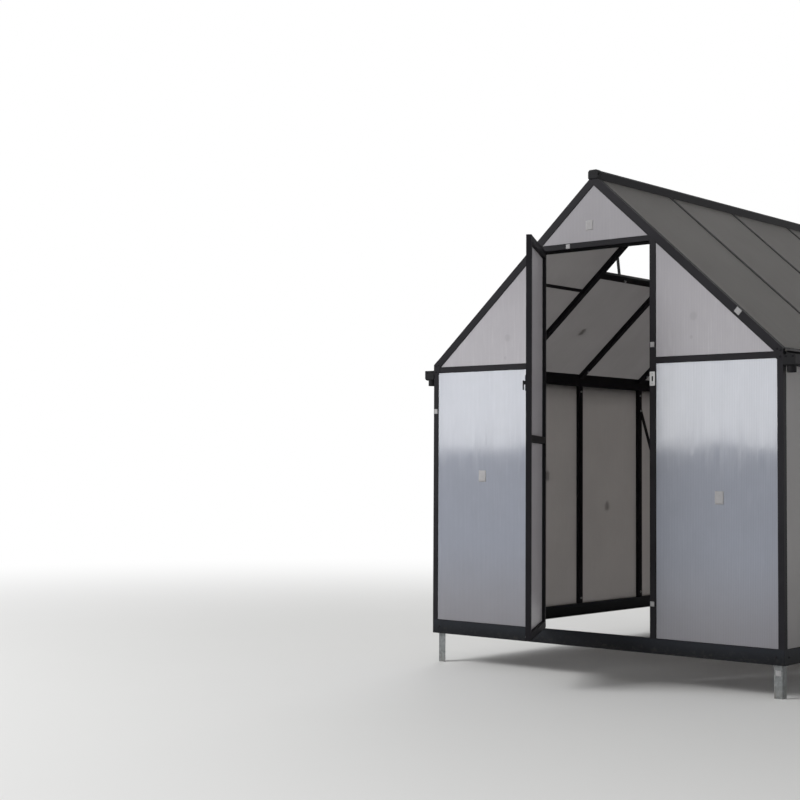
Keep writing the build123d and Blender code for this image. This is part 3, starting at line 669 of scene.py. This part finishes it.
def gridQuads(rows, columns, closed):
    # quads between the neighbours of a grid of points; closed joins the last column to the first
    row = np.arange(rows - 1)[:, None]
    column = np.arange(columns if closed else columns - 1)[None, :]
    after = (column + 1) % columns
    low = row * columns
    high = low + columns
    return np.stack([low + column, low + after, high + after, high + column], -1).reshape(-1, 4)


def turned(profile, sides, corners=0):
    # a profile of (radius, height) carried round an axis; rows with a radius of 0 close the ends
    # corners above 0 makes it a prism: the radius is the flat's distance over the cosine to it
    angle = np.arange(sides) * 2 * np.pi / sides
    profile = np.array(profile, float)
    reach = np.ones(sides)
    if corners:
        sector = 2 * np.pi / corners
        reach = 1.0 / np.cos((angle % sector) - sector / 2)
    radius = profile[:, :1] * reach[None, :]
    points = np.stack([
        radius * np.cos(angle),
        radius * np.sin(angle),
        np.repeat(profile[:, 1:], sides, 1),
    ], -1)
    return points.reshape(-1, 3), gridQuads(len(profile), sides, True)


def carried(profile, start, end, across, up):
    # a closed outline of (across, up) distances carried straight from start to end, with its ends closed
    profile = np.array(profile, float)
    ring = profile[:, :1] * np.array(across) + profile[:, 1:] * np.array(up)
    middle = ring.mean(0)
    hub = np.tile(middle, (len(ring), 1))
    rows = [start + hub, start + ring, end + ring, end + hub]
    return np.concatenate(rows), gridQuads(len(rows), len(ring), True)


def placed(shape, places, turns=0.0):
    # a copy of a shape at each place, an origin and an axis: its own z is turned to the axis, and its own x
    # to the cross product of the axis with z, or with x for an axis that is nearly upright
    points, quads = shape
    origins = np.array([origin for origin, axis in places], float)
    axes = np.array([axis for origin, axis in places], float)
    axes = axes / np.linalg.norm(axes, axis=1, keepdims=True)
    helper = np.where(np.abs(axes[:, 2:]) > 0.9, [[1.0, 0.0, 0.0]], [[0.0, 0.0, 1.0]])
    side = np.cross(helper, axes)
    side = side / np.linalg.norm(side, axis=1, keepdims=True)
    third = np.cross(axes, side)
    turn = np.broadcast_to(np.array(turns, float), (len(origins),))[:, None]
    first = side * np.cos(turn) + third * np.sin(turn)
    second = third * np.cos(turn) - side * np.sin(turn)
    world = (
        origins[:, None]
        + points[None, :, 0:1] * first[:, None]
        + points[None, :, 1:2] * second[:, None]
        + points[None, :, 2:3] * axes[:, None]
    )
    faces = quads[None] + (np.arange(len(origins)) * len(points))[:, None, None]
    return world.reshape(-1, 3), faces.reshape(-1, quads.shape[1])


def together(*shapes):
    # several shapes as one list of points and one of quads
    counts = np.cumsum([0] + [len(points) for points, quads in shapes])
    points = np.concatenate([points for points, quads in shapes])
    quads = np.concatenate([shape[1] + count for shape, count in zip(shapes, counts)])
    return points, quads


crispAngle = 35.0        # edges that turn by more degrees than this stay crisp
sameWithin = 1e-6        # points closer than this are one point


def makePiece(name, shape, body, finish):
    # a mesh from points and quads, with its doubles merged and its normals outwards
    points, quads = shape
    mesh = bpy.data.meshes.new(name)
    mesh.from_pydata(points.tolist(), [], quads.tolist())
    work = bmesh.new()
    work.from_mesh(mesh)
    bmesh.ops.remove_doubles(work, verts=work.verts, dist=sameWithin)
    bmesh.ops.recalc_face_normals(work, faces=work.faces)
    work.to_mesh(mesh)
    work.free()
    mesh.polygons.foreach_set("use_smooth", np.ones(len(mesh.polygons), bool))
    mesh.set_sharp_from_angle(angle=math.radians(crispAngle))
    mesh.materials.append(finishes[finish])
    piece = bpy.data.objects.new(name, mesh)
    bpy.context.scene.collection.objects.link(piece)
    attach(piece, body)
    return piece


# Hexagon nut on a washer with the end of its bolt: radii, thicknesses, and each nut's turn past the last
nutSize = {
    "washer": 0.0062,
    "washerThick": 0.0012,
    "flat": 0.005,
    "nutThick": 0.0048,
    "nutEase": 0.0006,
    "bolt": 0.003,
    "boltOut": 0.0022,
    "boltEase": 0.0004,
    "turnStep": 0.61,
}


def nut(size):
    # washer, nut and bolt end, each a short profile turned about the bolt, the last two with eased top edges
    base = size["washerThick"]
    top = base + size["nutThick"]
    end = top + size["boltOut"]
    flat, bolt = size["flat"], size["bolt"]
    washer = turned([(0, 0), (size["washer"], 0), (size["washer"], base), (0, base)], 12)
    body = turned([(flat, base), (flat, top - size["nutEase"]), (flat * 0.93, top), (0, top)], 6, 6)
    tip = turned([(bolt, top), (bolt, end - size["boltEase"]), (bolt * 0.85, end), (0, end)], 8)
    return together(washer, body, tip)


# Cross-head screw: a dome with four grooves pressed in, with shares for its roundness and the grooves' reach
screwSize = {
    "radius": 0.0042,
    "height": 0.0024,
    "round": 0.85,
    "groove": 0.0007,
    "reach": 0.65,
    "sink": 0.0011,
}


def screwHead(size, rings=6, sides=24):
    # dome height h * sqrt(1 - round * f^2) at radius f * r, sunk inside reach * r where a groove passes
    share = np.linspace(0.0, 1.0, rings)[:, None]
    angle = (np.arange(sides) * 2 * np.pi / sides)[None, :]
    x = size["radius"] * share * np.cos(angle)
    y = size["radius"] * share * np.sin(angle)
    dome = size["height"] * np.sqrt(1.0 - size["round"] * share**2) + 0 * angle
    inGroove = (np.minimum(np.abs(x), np.abs(y)) < size["groove"]) & (share < size["reach"])
    z = np.where(inGroove, dome - size["sink"], dome)
    top = np.stack([x, y, z], -1).reshape(-1, 3)
    foot = np.stack([x[-1], y[-1], np.zeros(sides)], -1)
    return np.concatenate([top, foot]), gridQuads(rings + 1, sides, True)


# Button-head bolt, for the corner plates and the base
buttonSize = {"radius": 0.0055, "height": 0.003, "socket": 0.002, "socketDeep": 0.0016}


def buttonHead(size):
    # a dome at radius * sin(t) and height * cos(t), and a socket in its top, both turned with 12 sides
    dome = [(size["radius"] * math.sin(t), size["height"] * math.cos(t)) for t in np.linspace(0.5, 1.5, 4)]
    mouth = (size["socket"] * 1.2, dome[0][1])
    bottom = dome[0][1] - size["socketDeep"]
    head = turned([mouth] + dome + [(size["radius"], 0.0)], 12)
    return together(head, turned([(0, bottom), (size["socket"], bottom), mouth], 12))


# Where the bars' bolts sit: how far from the ends of studs, rafters, posts and jambs, how far above and below
# the crossbars, and how far in from the wall or beside the doorway
boltAt = {
    "studEnd": 0.03,
    "rafterEnd": 0.075,
    "postShare": 0.3,
    "postIn": 0.017,
    "postFoot": 0.035,
    "postHead": 0.05,
    "rearStud": 0.015,
    "rearCross": 0.035,
    "jamb": 0.010,
    "jambEnd": 0.04,
    "jambCross": 0.03,
}


def barEnds(at):
    # bolts of the studs, rafters and posts, on their inner faces, with the way that each nut points
    places = []
    inner = halfWidth - bars["depth"]
    postIn = bars["postFace"] * at["postShare"]
    into = np.array([-math.sin(pitch), 0.0, -math.cos(pitch)])
    up = np.array([-math.cos(pitch), 0.0, math.sin(pitch)])
    ridgeReach = halfWidth / math.cos(pitch)
    for side in (-1, 1):
        flip = np.array([side, 1.0, 1.0])
        for y in bayLines[1:-1]:
            for z in (baseTop + at["studEnd"], studHigh.z - at["studEnd"]):
                places.append(((side * inner, y, z), (-side, 0, 0)))
            for along in (at["rafterEnd"], ridgeReach - at["rafterEnd"]):
                point = np.array([halfWidth, y, eaveZ]) + up * along + into * bars["depth"]
                places.append((point * flip, into * flip))
        for y in (frontY + postIn, rearY - postIn):
            for z in (baseTop + at["postFoot"], crossbarLow.z - at["postHead"]):
                places.append(((side * (halfWidth - at["postIn"]), y, z), (-side, 0, 0)))
    return places


def rearBars(at):
    # bolts at the foot of each rear stud, and below and above its crossbar
    places = []
    studX = doorHalf + at["rearStud"]
    cross = at["rearCross"]
    for x in (-studX, studX):
        for z in (baseTop + at["studEnd"], crossbarLow.z - cross, crossbarHigh.z + cross):
            places.append(((x, rearY - bars["depth"], z), (0, -1, 0)))
    return places


def jambBolts(at):
    # bolts at both ends of each jamb, and below and above its crossbar
    places = []
    end, cross = at["jambEnd"], at["jambCross"]
    levels = (baseTop + end, crossbarLow.z - cross, crossbarHigh.z + cross, headerLow.z - end)
    for side in (-1, 1):
        for z in levels:
            places.append(((side * (doorHalf + at["jamb"]), frontY + bars["depth"], z), (0, 1, 0)))
    return places


# Wind braces: their lower and upper bolts, in from the rear face and up from the base, and what they lie on
braceSize = {"footIn": 0.107, "footUp": 0.014, "headDown": 0.172, "inner": 0.030}


def braceBolts(size):
    # both ends of each brace: those of the rear bay, and the same mirrored to the front bay
    places = []
    middleY = (frontY + rearY) / 2
    foot = (rearY - size["footIn"], baseTop + size["footUp"])
    head = (bayLines[-2], eaveZ - size["headDown"])
    for side in (-1, 1):
        for end in (-1, 1):
            for y, z in (foot, head):
                place = (side * (halfWidth - size["inner"]), middleY + end * (y - middleY), z)
                places.append((place, (-side, 0, 0)))
    return places


boltPlaces = barEnds(boltAt) + rearBars(boltAt) + jambBolts(boltAt) + braceBolts(braceSize)
boltTurns = np.arange(len(boltPlaces)) * nutSize["turnStep"]
makePiece("bar_nuts", placed(nut(nutSize), boltPlaces, boltTurns), "house", "steel")

# Heads that are dark like the frame, on the corner plates (in from the wall and up from the eave), along the
# base, on the ridge caps and on the gutters' outlets
headAt = {
    "plate": ((0.0135, -0.036), (0.012, -0.008), (0.028, -0.002)),
    "baseUp": 0.033,
    "baseEnd": 0.04,
    "baseMiddle": 0.02,
    "capIn": 0.011,
    "capDown": 0.02,
    "outletOut": (0.012, 0.044),
    "outletDown": 0.007,
}


def plateHeads(at):
    # three on each corner plate
    places = []
    plateLow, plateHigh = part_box("corner_plates")
    for side in (-1, 1):
        for y, way in ((plateLow.y, -1), (plateHigh.y, 1)):
            for x, z in at["plate"]:
                places.append(((side * (halfWidth - x), y, eaveZ + z), (0, way, 0)))
    return places


def baseHeads(at):
    # four along each side and one near each corner of the ends
    places = []
    z = baseLow + at["baseUp"]
    end, middle = at["baseEnd"], (frontY + rearY) / 2
    for side in (-1, 1):
        for y in (frontY + end, middle - at["baseMiddle"], middle + at["baseMiddle"], rearY - end):
            places.append(((side * halfWidth, y, z), (side, 0, 0)))
        for y, way in ((frontY, -1), (rearY, 1)):
            places.append(((side * (halfWidth - end), y, z), (0, way, 0)))
    return places


def endHeads(at):
    # one on each side of a ridge cap and two on each outlet
    places = []
    capLow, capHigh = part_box("ridge_caps")
    outletLow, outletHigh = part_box("gutter_outlets")
    for side in (-1, 1):
        for cap, outlet, way in ((capLow.y, outletLow.y, -1), (capHigh.y, outletHigh.y, 1)):
            y, z = cap - way * at["capIn"], capHigh.z - at["capDown"]
            places.append(((side * capHigh.x, y, z), (side, 0, 0)))
            for out in at["outletOut"]:
                z = outletHigh.z - at["outletDown"]
                places.append(((side * (halfWidth + out), outlet, z), (0, way, 0)))
    return places


headPlaces = plateHeads(headAt) + baseHeads(headAt) + endHeads(headAt)
makePiece("frame_bolts", placed(buttonHead(buttonSize), headPlaces), "house", "upright")
print("bolts:", len(boltPlaces) + len(headPlaces))

# Door leaf in its own plane: its bars, its two ends along it, its middle rail's height, and the depths behind
# the pins of its face and of its sheets' two faces
leafSize = {
    "bar": 0.030,
    "inset": 0.0025,
    "end": 0.5915,
    "midRail": 0.9485,
    "face": 0.008,
    "outer": 0.0104,
    "inner": 0.0164,
}

# Screws: half a hinge's height, the spacing on hinges and strike, how far the hinges' screws lie beside the
# doorway and beside the pin, the depth of the plates on the leaf, the spacing at the latch, and the turns
screwAt = {
    "hingeHalf": 0.0335,
    "spacing": 0.022,
    "besideDoorway": 0.019,
    "besidePin": 0.021,
    "plateFace": 0.005,
    "latch": 0.028,
    "houseTurn": 0.4,
    "doorTurn": 0.9,
}


def leafPoint(along, depth, z):
    # a point of the leaf: along it from the pins, behind its pins by depth, at height z
    return hingeFoot + leafAlong * along + leafInto * depth + [0, 0, z]


def hingeScrewLevels(at):
    # three heights on each of the three hinges
    low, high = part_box("jamb_hinges")
    middles = (low.z + at["hingeHalf"], (low.z + high.z) / 2, high.z - at["hingeHalf"])
    return [middle + lift for middle in middles for lift in (-at["spacing"], 0.0, at["spacing"])]


def houseScrews(at):
    # on the hinges' fixed halves and the strike plate
    x, y = -doorHalf - at["besideDoorway"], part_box("jamb_hinges")[0].y
    places = [((x, y, z), (0, -1, 0)) for z in hingeScrewLevels(at)]
    strikeLow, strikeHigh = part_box("strike_plate")
    middle = (strikeLow + strikeHigh) / 2
    for lift in (-at["spacing"], at["spacing"]):
        places.append(((middle.x, strikeLow.y, middle.z + lift), (0, -1, 0)))
    return places


def doorScrews(at):
    # on the hinges' moving halves, beside the latch and at the leaf's corners
    places = [(leafPoint(at["besidePin"], at["plateFace"], z), -leafInto) for z in hingeScrewLevels(at)]
    latchLow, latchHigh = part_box("door_latch")
    latchMiddle = (latchLow.z + latchHigh.z) / 2
    leafLow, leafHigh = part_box("door_frame")
    halfBar = leafSize["bar"] / 2
    farStile = leafSize["end"] - halfBar
    for z in (latchMiddle - at["latch"], latchMiddle + at["latch"]):
        places.append((leafPoint(farStile, at["plateFace"], z), -leafInto))
    for along in (leafSize["inset"] + halfBar, farStile):
        for z in (leafLow.z + halfBar, leafHigh.z - halfBar):
            places.append((leafPoint(along, leafSize["face"], z), -leafInto))
    return places


head = screwHead(screwSize)
housePlaces, doorPlaces = houseScrews(screwAt), doorScrews(screwAt)
makePiece("house_screws", placed(head, housePlaces, screwAt["houseTurn"]), "house", "steel")
makePiece("door_screws", placed(head, doorPlaces, screwAt["doorTurn"]), "door", "steel")

# Stop strips behind the jambs and the header, a little past their edges
stopSize = {"thick": 0.003, "lap": 0.013, "reach": 0.010, "clear": 0.0001, "foot": 0.0005, "top": 0.0078}


def stopStrips(size):
    # a flat strip carried up each jamb, and one 1.2 times as wide along the header
    t = size["thick"]
    outline = [(-size["lap"], 0.0), (size["reach"], 0.0), (size["reach"], t), (-size["lap"], t)]
    rear = jambHigh.y + size["clear"]
    shapes = []
    for side in (-1, 1):
        low = np.array([side * doorHalf, rear, baseTop + size["foot"]])
        high = np.array([side * doorHalf, rear, headerLow.z + size["top"]])
        shapes.append(carried(outline, low, high, (-side, 0, 0), (0, 1, 0)))
    left = np.array([-doorHalf + size["reach"], rear, headerLow.z])
    right = np.array([doorHalf - size["reach"], rear, headerLow.z])
    wider = [(-a * 1.2, b) for a, b in outline]
    shapes.append(carried(wider, left, right, (0, 0, 1), (0, 1, 0)))
    return together(*shapes)


makePiece("door_stops", stopStrips(stopSize), "house", "fitting")

# Edge strips that close the lower ends of the roof sheets: how far they lap above and under the sheet, their
# play round it, and how far they stop short of a rafter's line and of the house's ends
stripSize = {"thick": 0.001, "top": 0.019, "under": 0.0035, "play": 0.0002, "side": 0.0118, "end": 0.0035}


def edgeStrips(size):
    # a J outline over the sheet's end, carried along each bay of both slopes
    low = -bars["overhang"]
    t, play = size["thick"], size["play"]
    upper = bars["seat"] - bars["sheet"] - play
    lower = bars["seat"] + play
    outline = [
        (low - t, upper - t), (low - t + size["top"], upper - t), (low - t + size["top"], upper),
        (low - play, upper), (low - play, lower), (low + size["under"], lower),
        (low + size["under"], lower + t), (low - t, lower + t),
    ]
    shapes = []
    for side in (-1, 1):
        up = np.array([-side * math.cos(pitch), 0.0, math.sin(pitch)])
        into = np.array([-side * math.sin(pitch), 0.0, -math.cos(pitch)])
        for i in range(bayCount):
            near = bayLines[i] + (size["side"] if i else size["end"])
            far = bayLines[i + 1] - (size["side"] if i < bayCount - 1 else size["end"])
            start = np.array([side * halfWidth, near, eaveZ])
            end = np.array([side * halfWidth, far, eaveZ])
            shapes.append(carried(outline, start, end, up, into))
    return together(*shapes)


makePiece("roof_edge_strips", edgeStrips(stripSize), "house", "long")
print("screws and strips made")

# Rubber bead round each sheet: how far it reaches over the sheet, its height, how far back the sheet's face
# lies behind the bars, how far the eave beam comes down over the studs, and half of the vent sill's width
beadSize = {"reach": 0.0024, "height": 0.0017, "back": 0.00235, "eaveCover": 0.016, "sillHalf": 0.02}


def beadRound(corners, out, size=beadSize):
    # a quarter-round outline, reach * cos(t) by height * sin(t), carried along each side of a flat opening
    corners = np.array(corners, float) - np.array(out, float) * size["back"]
    centre = corners.mean(0)
    bend = np.linspace(0.0, np.pi / 2, 4)
    quarter = np.stack([size["reach"] * np.cos(bend), size["height"] * np.sin(bend)], -1)
    outline = np.concatenate([[[0.0, 0.0]], quarter])
    shapes = []
    for start, end in zip(corners, np.roll(corners, -1, 0)):
        along = (end - start) / np.linalg.norm(end - start)
        inwards = centre - start
        inwards = inwards - along * inwards.dot(along)
        inwards = inwards / np.linalg.norm(inwards)
        shapes.append(carried(outline, start, end, inwards, out))
    return together(*shapes)


def bayEdges(i):
    # the edges of the open bay i between the caps of its bars
    near = bayLines[i] + bars["cap"] / 2 if i else frontY + bars["postFace"]
    far = bayLines[i + 1] - bars["cap"] / 2 if i < bayCount - 1 else rearY - bars["postFace"]
    return near, far


def wallBeads():
    # round the sheet of each bay of both side walls, from the base to the eave beam
    shapes = []
    top = studHigh.z - beadSize["eaveCover"]
    for side in (-1, 1):
        x = side * halfWidth
        for i in range(bayCount):
            near, far = bayEdges(i)
            corners = [(x, near, baseTop), (x, far, baseTop), (x, far, top), (x, near, top)]
            shapes.append(beadRound(corners, (side, 0, 0)))
    return shapes


def roofBeads():
    # each slope's bays from the edge strip to the ridge, and under the vent to its sill
    shapes = []
    low = stripSize["top"] - bars["overhang"]
    ridge = (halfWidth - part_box("ridge_beam")[1].x) / math.cos(pitch)
    sillLow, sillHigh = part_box("vent_sill")
    sill = (halfWidth + (sillLow.x + sillHigh.x) / 2) / math.cos(pitch)
    for side in (-1, 1):
        up = np.array([-side * math.cos(pitch), 0.0, math.sin(pitch)])
        out = np.array([side * math.sin(pitch), 0.0, math.cos(pitch)])
        eave = np.array([side * halfWidth, 0.0, eaveZ])
        for i in range(bayCount):
            near, far = bayEdges(i)
            high = sill - beadSize["sillHalf"] if side < 0 and i == ventBay else ridge
            around = ((low, near), (low, far), (high, far), (high, near))
            shapes.append(beadRound([eave + up * a + [0, y, 0] for a, y in around], out))
    return shapes


def gableBeads():
    # the lower sheets, the triangles beside the middle bars and what lies between those, on both gables
    shapes = []
    inner = apexZ - bars["rakeFace"] / math.cos(pitch)
    crossLow, crossHigh = crossbarLow.z, crossbarHigh.z
    postX = halfWidth - bars["postFace"]
    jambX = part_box("jamb_right")[1].x
    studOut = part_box("rear_studs")[1].x - (bars["face"] - bars["cap"]) / 2
    studIn = studOut - bars["cap"]

    def rakeX(z):
        return (inner - z) / math.tan(pitch)

    def rakeZ(x):
        return inner - x * math.tan(pitch)

    apexFoot = headerHigh.z
    frontOpenings = [[(-rakeX(apexFoot), apexFoot), (rakeX(apexFoot), apexFoot), (0.0, inner)]]
    high = rakeZ(studIn)
    rearOpenings = [
        [(-studIn, baseTop), (studIn, baseTop), (studIn, crossLow), (-studIn, crossLow)],
        [(-studIn, crossHigh), (studIn, crossHigh), (studIn, high), (0.0, inner), (-studIn, high)],
    ]
    for openings, edge in ((frontOpenings, jambX), (rearOpenings, studOut)):
        for side in (-1, 1):
            s, p = side * edge, side * postX
            openings.append([(s, baseTop), (p, baseTop), (p, crossLow), (s, crossLow)])
            openings.append([(s, crossHigh), (side * rakeX(crossHigh), crossHigh), (s, rakeZ(edge))])
    for openings, y, way in ((frontOpenings, frontY, -1), (rearOpenings, rearY, 1)):
        for opening in openings:
            shapes.append(beadRound([(x, y, z) for x, z in opening], (0, way, 0)))
    return shapes


def doorBeads():
    # outer and inner faces of the two door sheets, in the leaf's own directions
    frameLow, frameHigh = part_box("door_frame")
    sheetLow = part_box("door_panels")[0]
    bar = leafSize["bar"]
    near = leafSize["inset"] + bar
    far = leafSize["end"] - bar
    middle = baseLow + leafSize["midRail"]
    shapes = []
    for low, high in ((frameLow.z + bar, middle - bar / 2), (middle + bar / 2, frameHigh.z - bar)):
        for depth, out in ((leafSize["outer"], -leafInto), (leafSize["inner"], leafInto)):
            around = ((near, low), (far, low), (far, high), (near, high))
            corners = [leafPoint(along, depth, z) for along, z in around]
            shapes.append(beadRound(corners, out, dict(beadSize, back=0.0)))
    return shapes


makePiece("sheet_beads", together(*wallBeads(), *roofBeads(), *gableBeads()), "house", "rubber")
makePiece("door_beads", together(*doorBeads()), "door", "rubber")

# Peg on the vent sill that the stay's foot drops over, and how far beside the stay it stands
pegSize = {"radius": 0.0055, "neck": 0.0032, "length": 0.013, "beside": 0.013}


def stayPeg(size):
    # a mushroom profile turned about the peg's own axis, with heights as shares of its length
    head, neck, length = size["radius"], size["neck"], size["length"]
    profile = [
        (0, 0), (neck, 0), (neck, length * 0.6), (head, length * 0.68),
        (head, length * 0.86), (head * 0.7, length), (0, length),
    ]
    sillLow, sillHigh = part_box("vent_sill")
    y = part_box("vent_stay")[1].y + size["beside"]
    into = np.array([math.sin(pitch), 0.0, -math.cos(pitch)])
    middle = np.array([(sillLow.x + sillHigh.x) / 2, y, (sillLow.z + sillHigh.z) / 2])
    return placed(turned(profile, 16), [(middle + into * bars["depth"] / 2, into)])


makePiece("stay_peg", stayPeg(pegSize), "house", "peg")
print("beads and peg made")

# Blank stickers: how far they stand off their face, how far a corner curls, and their thickness
labelSize = {"lift": 0.0003, "curl": 0.0012, "thick": 0.00012}


def sticker(middle, across, up, width, height, size=labelSize, cells=8):
    # a flat patch whose one corner lifts by curl * (u + v - 1.1)^2, with u and v from -1 to 1
    across = np.array(across, float)
    up = np.array(up, float)
    out = np.cross(across, up)
    u, v = np.meshgrid(np.linspace(-1, 1, cells), np.linspace(-1, 1, cells))
    lift = size["lift"] + size["curl"] * np.clip(u + v - 1.1, 0, None) ** 2
    points = (
        np.array(middle, float)
        + (u * width / 2)[..., None] * across
        + (v * height / 2)[..., None] * up
        + lift[..., None] * out
    )
    return points.reshape(-1, 3), gridQuads(cells, cells, False)


def addStickers(name, patches):
    # one piece of several patches, given their thickness by a modifier
    piece = makePiece(name, together(*patches), "house", "label")
    solid = piece.modifiers.new("thickness", "SOLIDIFY")
    solid.thickness = labelSize["thick"]
    solid.offset = 1.0


# Front stickers: what each lies on, its place from the middle and up from the base's underside, its width and
# its height
frontLabels = (
    ("bar", -0.142, 1.8548, 0.022, 0.021),
    ("rake", 0.740, 1.4985, 0.030, 0.026),
    ("bar", 0.3135, 1.374, 0.021, 0.023),
    ("bar", 0.3115, 0.219, 0.021, 0.022),
    ("bar", -0.9370, 1.0977, 0.021, 0.024),
    ("sheet", -0.6450, 0.7780, 0.043, 0.055),
    ("sheet", 0.6455, 0.6950, 0.043, 0.057),
    ("sheet", -0.0240, 1.9440, 0.040, 0.046),
    ("leg", 0.9101, -0.035, 0.026, 0.025),
)

# Stickers on the wall sheets, one a bay, and on every other sheet of the left slope
sideLabels = {
    "heights": (0.70, 0.775, 0.60, 0.68),
    "shifts": (-0.018, 0.012),
    "width": 0.034,
    "wallTall": 0.050,
    "roofTall": 0.044,
    "roofAlong": 0.335,
    "roofShift": -0.03,
}


def frontStickers(labels):
    # each label on its own kind of face, with the face's depth and its two directions
    east, sky = (1, 0, 0), (0, 0, 1)
    downSlope = (math.cos(pitch), 0.0, -math.sin(pitch))
    offSlope = (math.sin(pitch), 0.0, math.cos(pitch))
    faces = {
        "bar": (frontY, east, sky),
        "rake": (frontY, downSlope, offSlope),
        "sheet": (frontY + bars["seat"] - bars["sheet"], east, sky),
        "leg": (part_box("corner_legs")[0].y, east, sky),
    }
    patches = []
    for face, x, up, width, height in labels:
        y, across, upwards = faces[face]
        patches.append(sticker((x, y, baseLow + up), across, upwards, width, height))
    return patches


def sideStickers(look):
    # two facing outwards at each bay's middle, and one on the left slope in every other bay
    north, south, sky = (0, 1, 0), (0, -1, 0), (0, 0, 1)
    upSlope = (math.cos(pitch), 0.0, math.sin(pitch))
    depth = bars["seat"] - bars["sheet"]
    along, width = look["roofAlong"], look["width"]
    wallX = halfWidth - depth
    roofX = halfWidth - along * math.cos(pitch) - depth * math.sin(pitch)
    roofZ = eaveZ + along * math.sin(pitch) - depth * math.cos(pitch)
    patches = []
    for i in range(bayCount):
        y = (bayLines[i] + bayLines[i + 1]) / 2 + look["shifts"][i % 2]
        z = baseLow + look["heights"][i]
        patches.append(sticker((wallX, y, z), north, sky, width, look["wallTall"]))
        patches.append(sticker((-wallX, y, z), south, sky, width, look["wallTall"]))
        if i % 2:
            roofPlace = (-roofX, y + look["roofShift"], roofZ)
            patches.append(sticker(roofPlace, south, upSlope, width, look["roofTall"]))
    return patches


addStickers("front_labels", frontStickers(frontLabels))
addStickers("side_labels", sideStickers(sideLabels))
print("stickers made")


# Stage: a pale floor that fades into the backdrop, a high soft lamp to the left of the gable, a low wide
# one whose reflection the lower sheets show, one behind, and a soft world that is dimmer on the right
stage = {
    "floor": (0.74, 0.74, 0.73, 1.0),
    "floorPatch": (0.70, 0.70, 0.69, 1.0),
    "floorRough": 0.75,
    "floorGloss": 0.2,
    "floorSize": 80.0,
    "fadeFrom": 1.8,
    "fadeTo": 9.0,
    "fill": 0.38,
    "dimmer": 0.35,
    "lamps": {
        "high_lamp": {
            "power": 600.0,
            "size": (5.0, 4.0),
            "place": (-4.5, -7.6, 6.6),
            "aim": (0.0, 0.0, 1.2),
        },
        "rear_lamp": {
            "power": 260.0,
            "size": (5.0, 3.0),
            "place": (-5.6, 8.2, 4.2),
            "aim": (0.0, 0.5, 1.2),
        },
        "low_lamp": {
            "power": 118.0,
            "size": (6.8, 1.06),
            "place": (-5.2, -8.6, 1.71),
            "aim": (-5.2, 0.0, 1.71),
        },
    },
}


def seenDirectly(finish):
    # 1 for rays from the camera, mirror rays and clear rays, 0 for rays that carry soft light
    kinds = ("Is Camera Ray", "Is Glossy Ray", "Is Transmission Ray", "Is Diffuse Ray")
    camera, mirror, clear, soft = (finish.add("ShaderNodeLightPath", {}, {}, kind) for kind in kinds)
    return camera.atLeast(mirror).atLeast(clear - soft)


def makeFloor(look):
    # a wide pale floor with slight patches that turns white with distance
    f = Finish(bpy.data.materials.new("floor"))
    place = f.place()
    x, y, z = f.parts(place)
    away = f.add("ShaderNodeVectorMath", {"operation": "LENGTH"}, {0: f.joined(x, y, 0.0)}, 1)
    fade = away.ramp(look["fadeFrom"], look["fadeTo"])
    grain = f.noise(place, 1.3, 4.0)
    ground = f.add("ShaderNodeBsdfPrincipled", {}, {
        "Base Color": f.mixed(grain * 0.25, look["floor"], look["floorPatch"]),
        "Roughness": look["floorRough"] + grain * 0.1,
        "Specular IOR Level": look["floorGloss"],
    })
    white = f.add("ShaderNodeEmission", {}, {"Color": (1, 1, 1, 1), "Strength": 1.0})
    surface = f.add("ShaderNodeMixShader", {}, {0: fade * seenDirectly(f), 1: ground, 2: white})
    material = f.finished(surface)
    half = look["floorSize"] / 2
    corners = np.array([[-half, -half, 0], [half, -half, 0], [half, half, 0], [-half, half, 0]])
    mesh = bpy.data.meshes.new("floor")
    mesh.from_pydata(corners.tolist(), [], [[0, 1, 2, 3]])
    mesh.materials.append(material)
    floor = bpy.data.objects.new("floor", mesh)
    bpy.context.scene.collection.objects.link(floor)


def makeWorld(look):
    # soft light from all round, dimmer from the right
    world = bpy.data.worlds.new("studio")
    bpy.context.scene.world = world
    f = Finish(world)
    toRight = f.parts(f.add("ShaderNodeTexCoord", {}, {}, "Generated"))[0]
    strength = (1.0 - toRight.ramp(-0.1, 0.9) * look["dimmer"]) * look["fill"]
    soft = f.add("ShaderNodeBackground", {}, {"Color": (1, 1, 1, 1), "Strength": strength})
    white = f.add("ShaderNodeBackground", {}, {"Color": (1, 1, 1, 1), "Strength": 1.0})
    both = f.add("ShaderNodeMixShader", {}, {0: seenDirectly(f), 1: soft, 2: white})
    f.finished(both, "ShaderNodeOutputWorld")


def makeLamp(name, look):
    # a rectangular lamp that looks at its aim
    lamp = bpy.data.lights.new(name, "AREA")
    lamp.shape = "RECTANGLE"
    lamp.size, lamp.size_y = look["size"]
    lamp.energy = look["power"]
    holder = bpy.data.objects.new(name, lamp)
    place = Vector(look["place"])
    holder.location = place
    holder.rotation_euler = (Vector(look["aim"]) - place).to_track_quat("-Z", "Y").to_euler()
    holder.visible_camera = False
    bpy.context.scene.collection.objects.link(holder)


makeFloor(stage)
makeWorld(stage)
for lampName, lampLook in stage["lamps"].items():
    makeLamp(lampName, lampLook)
print("stage set")

bpy.context.view_layer.update()
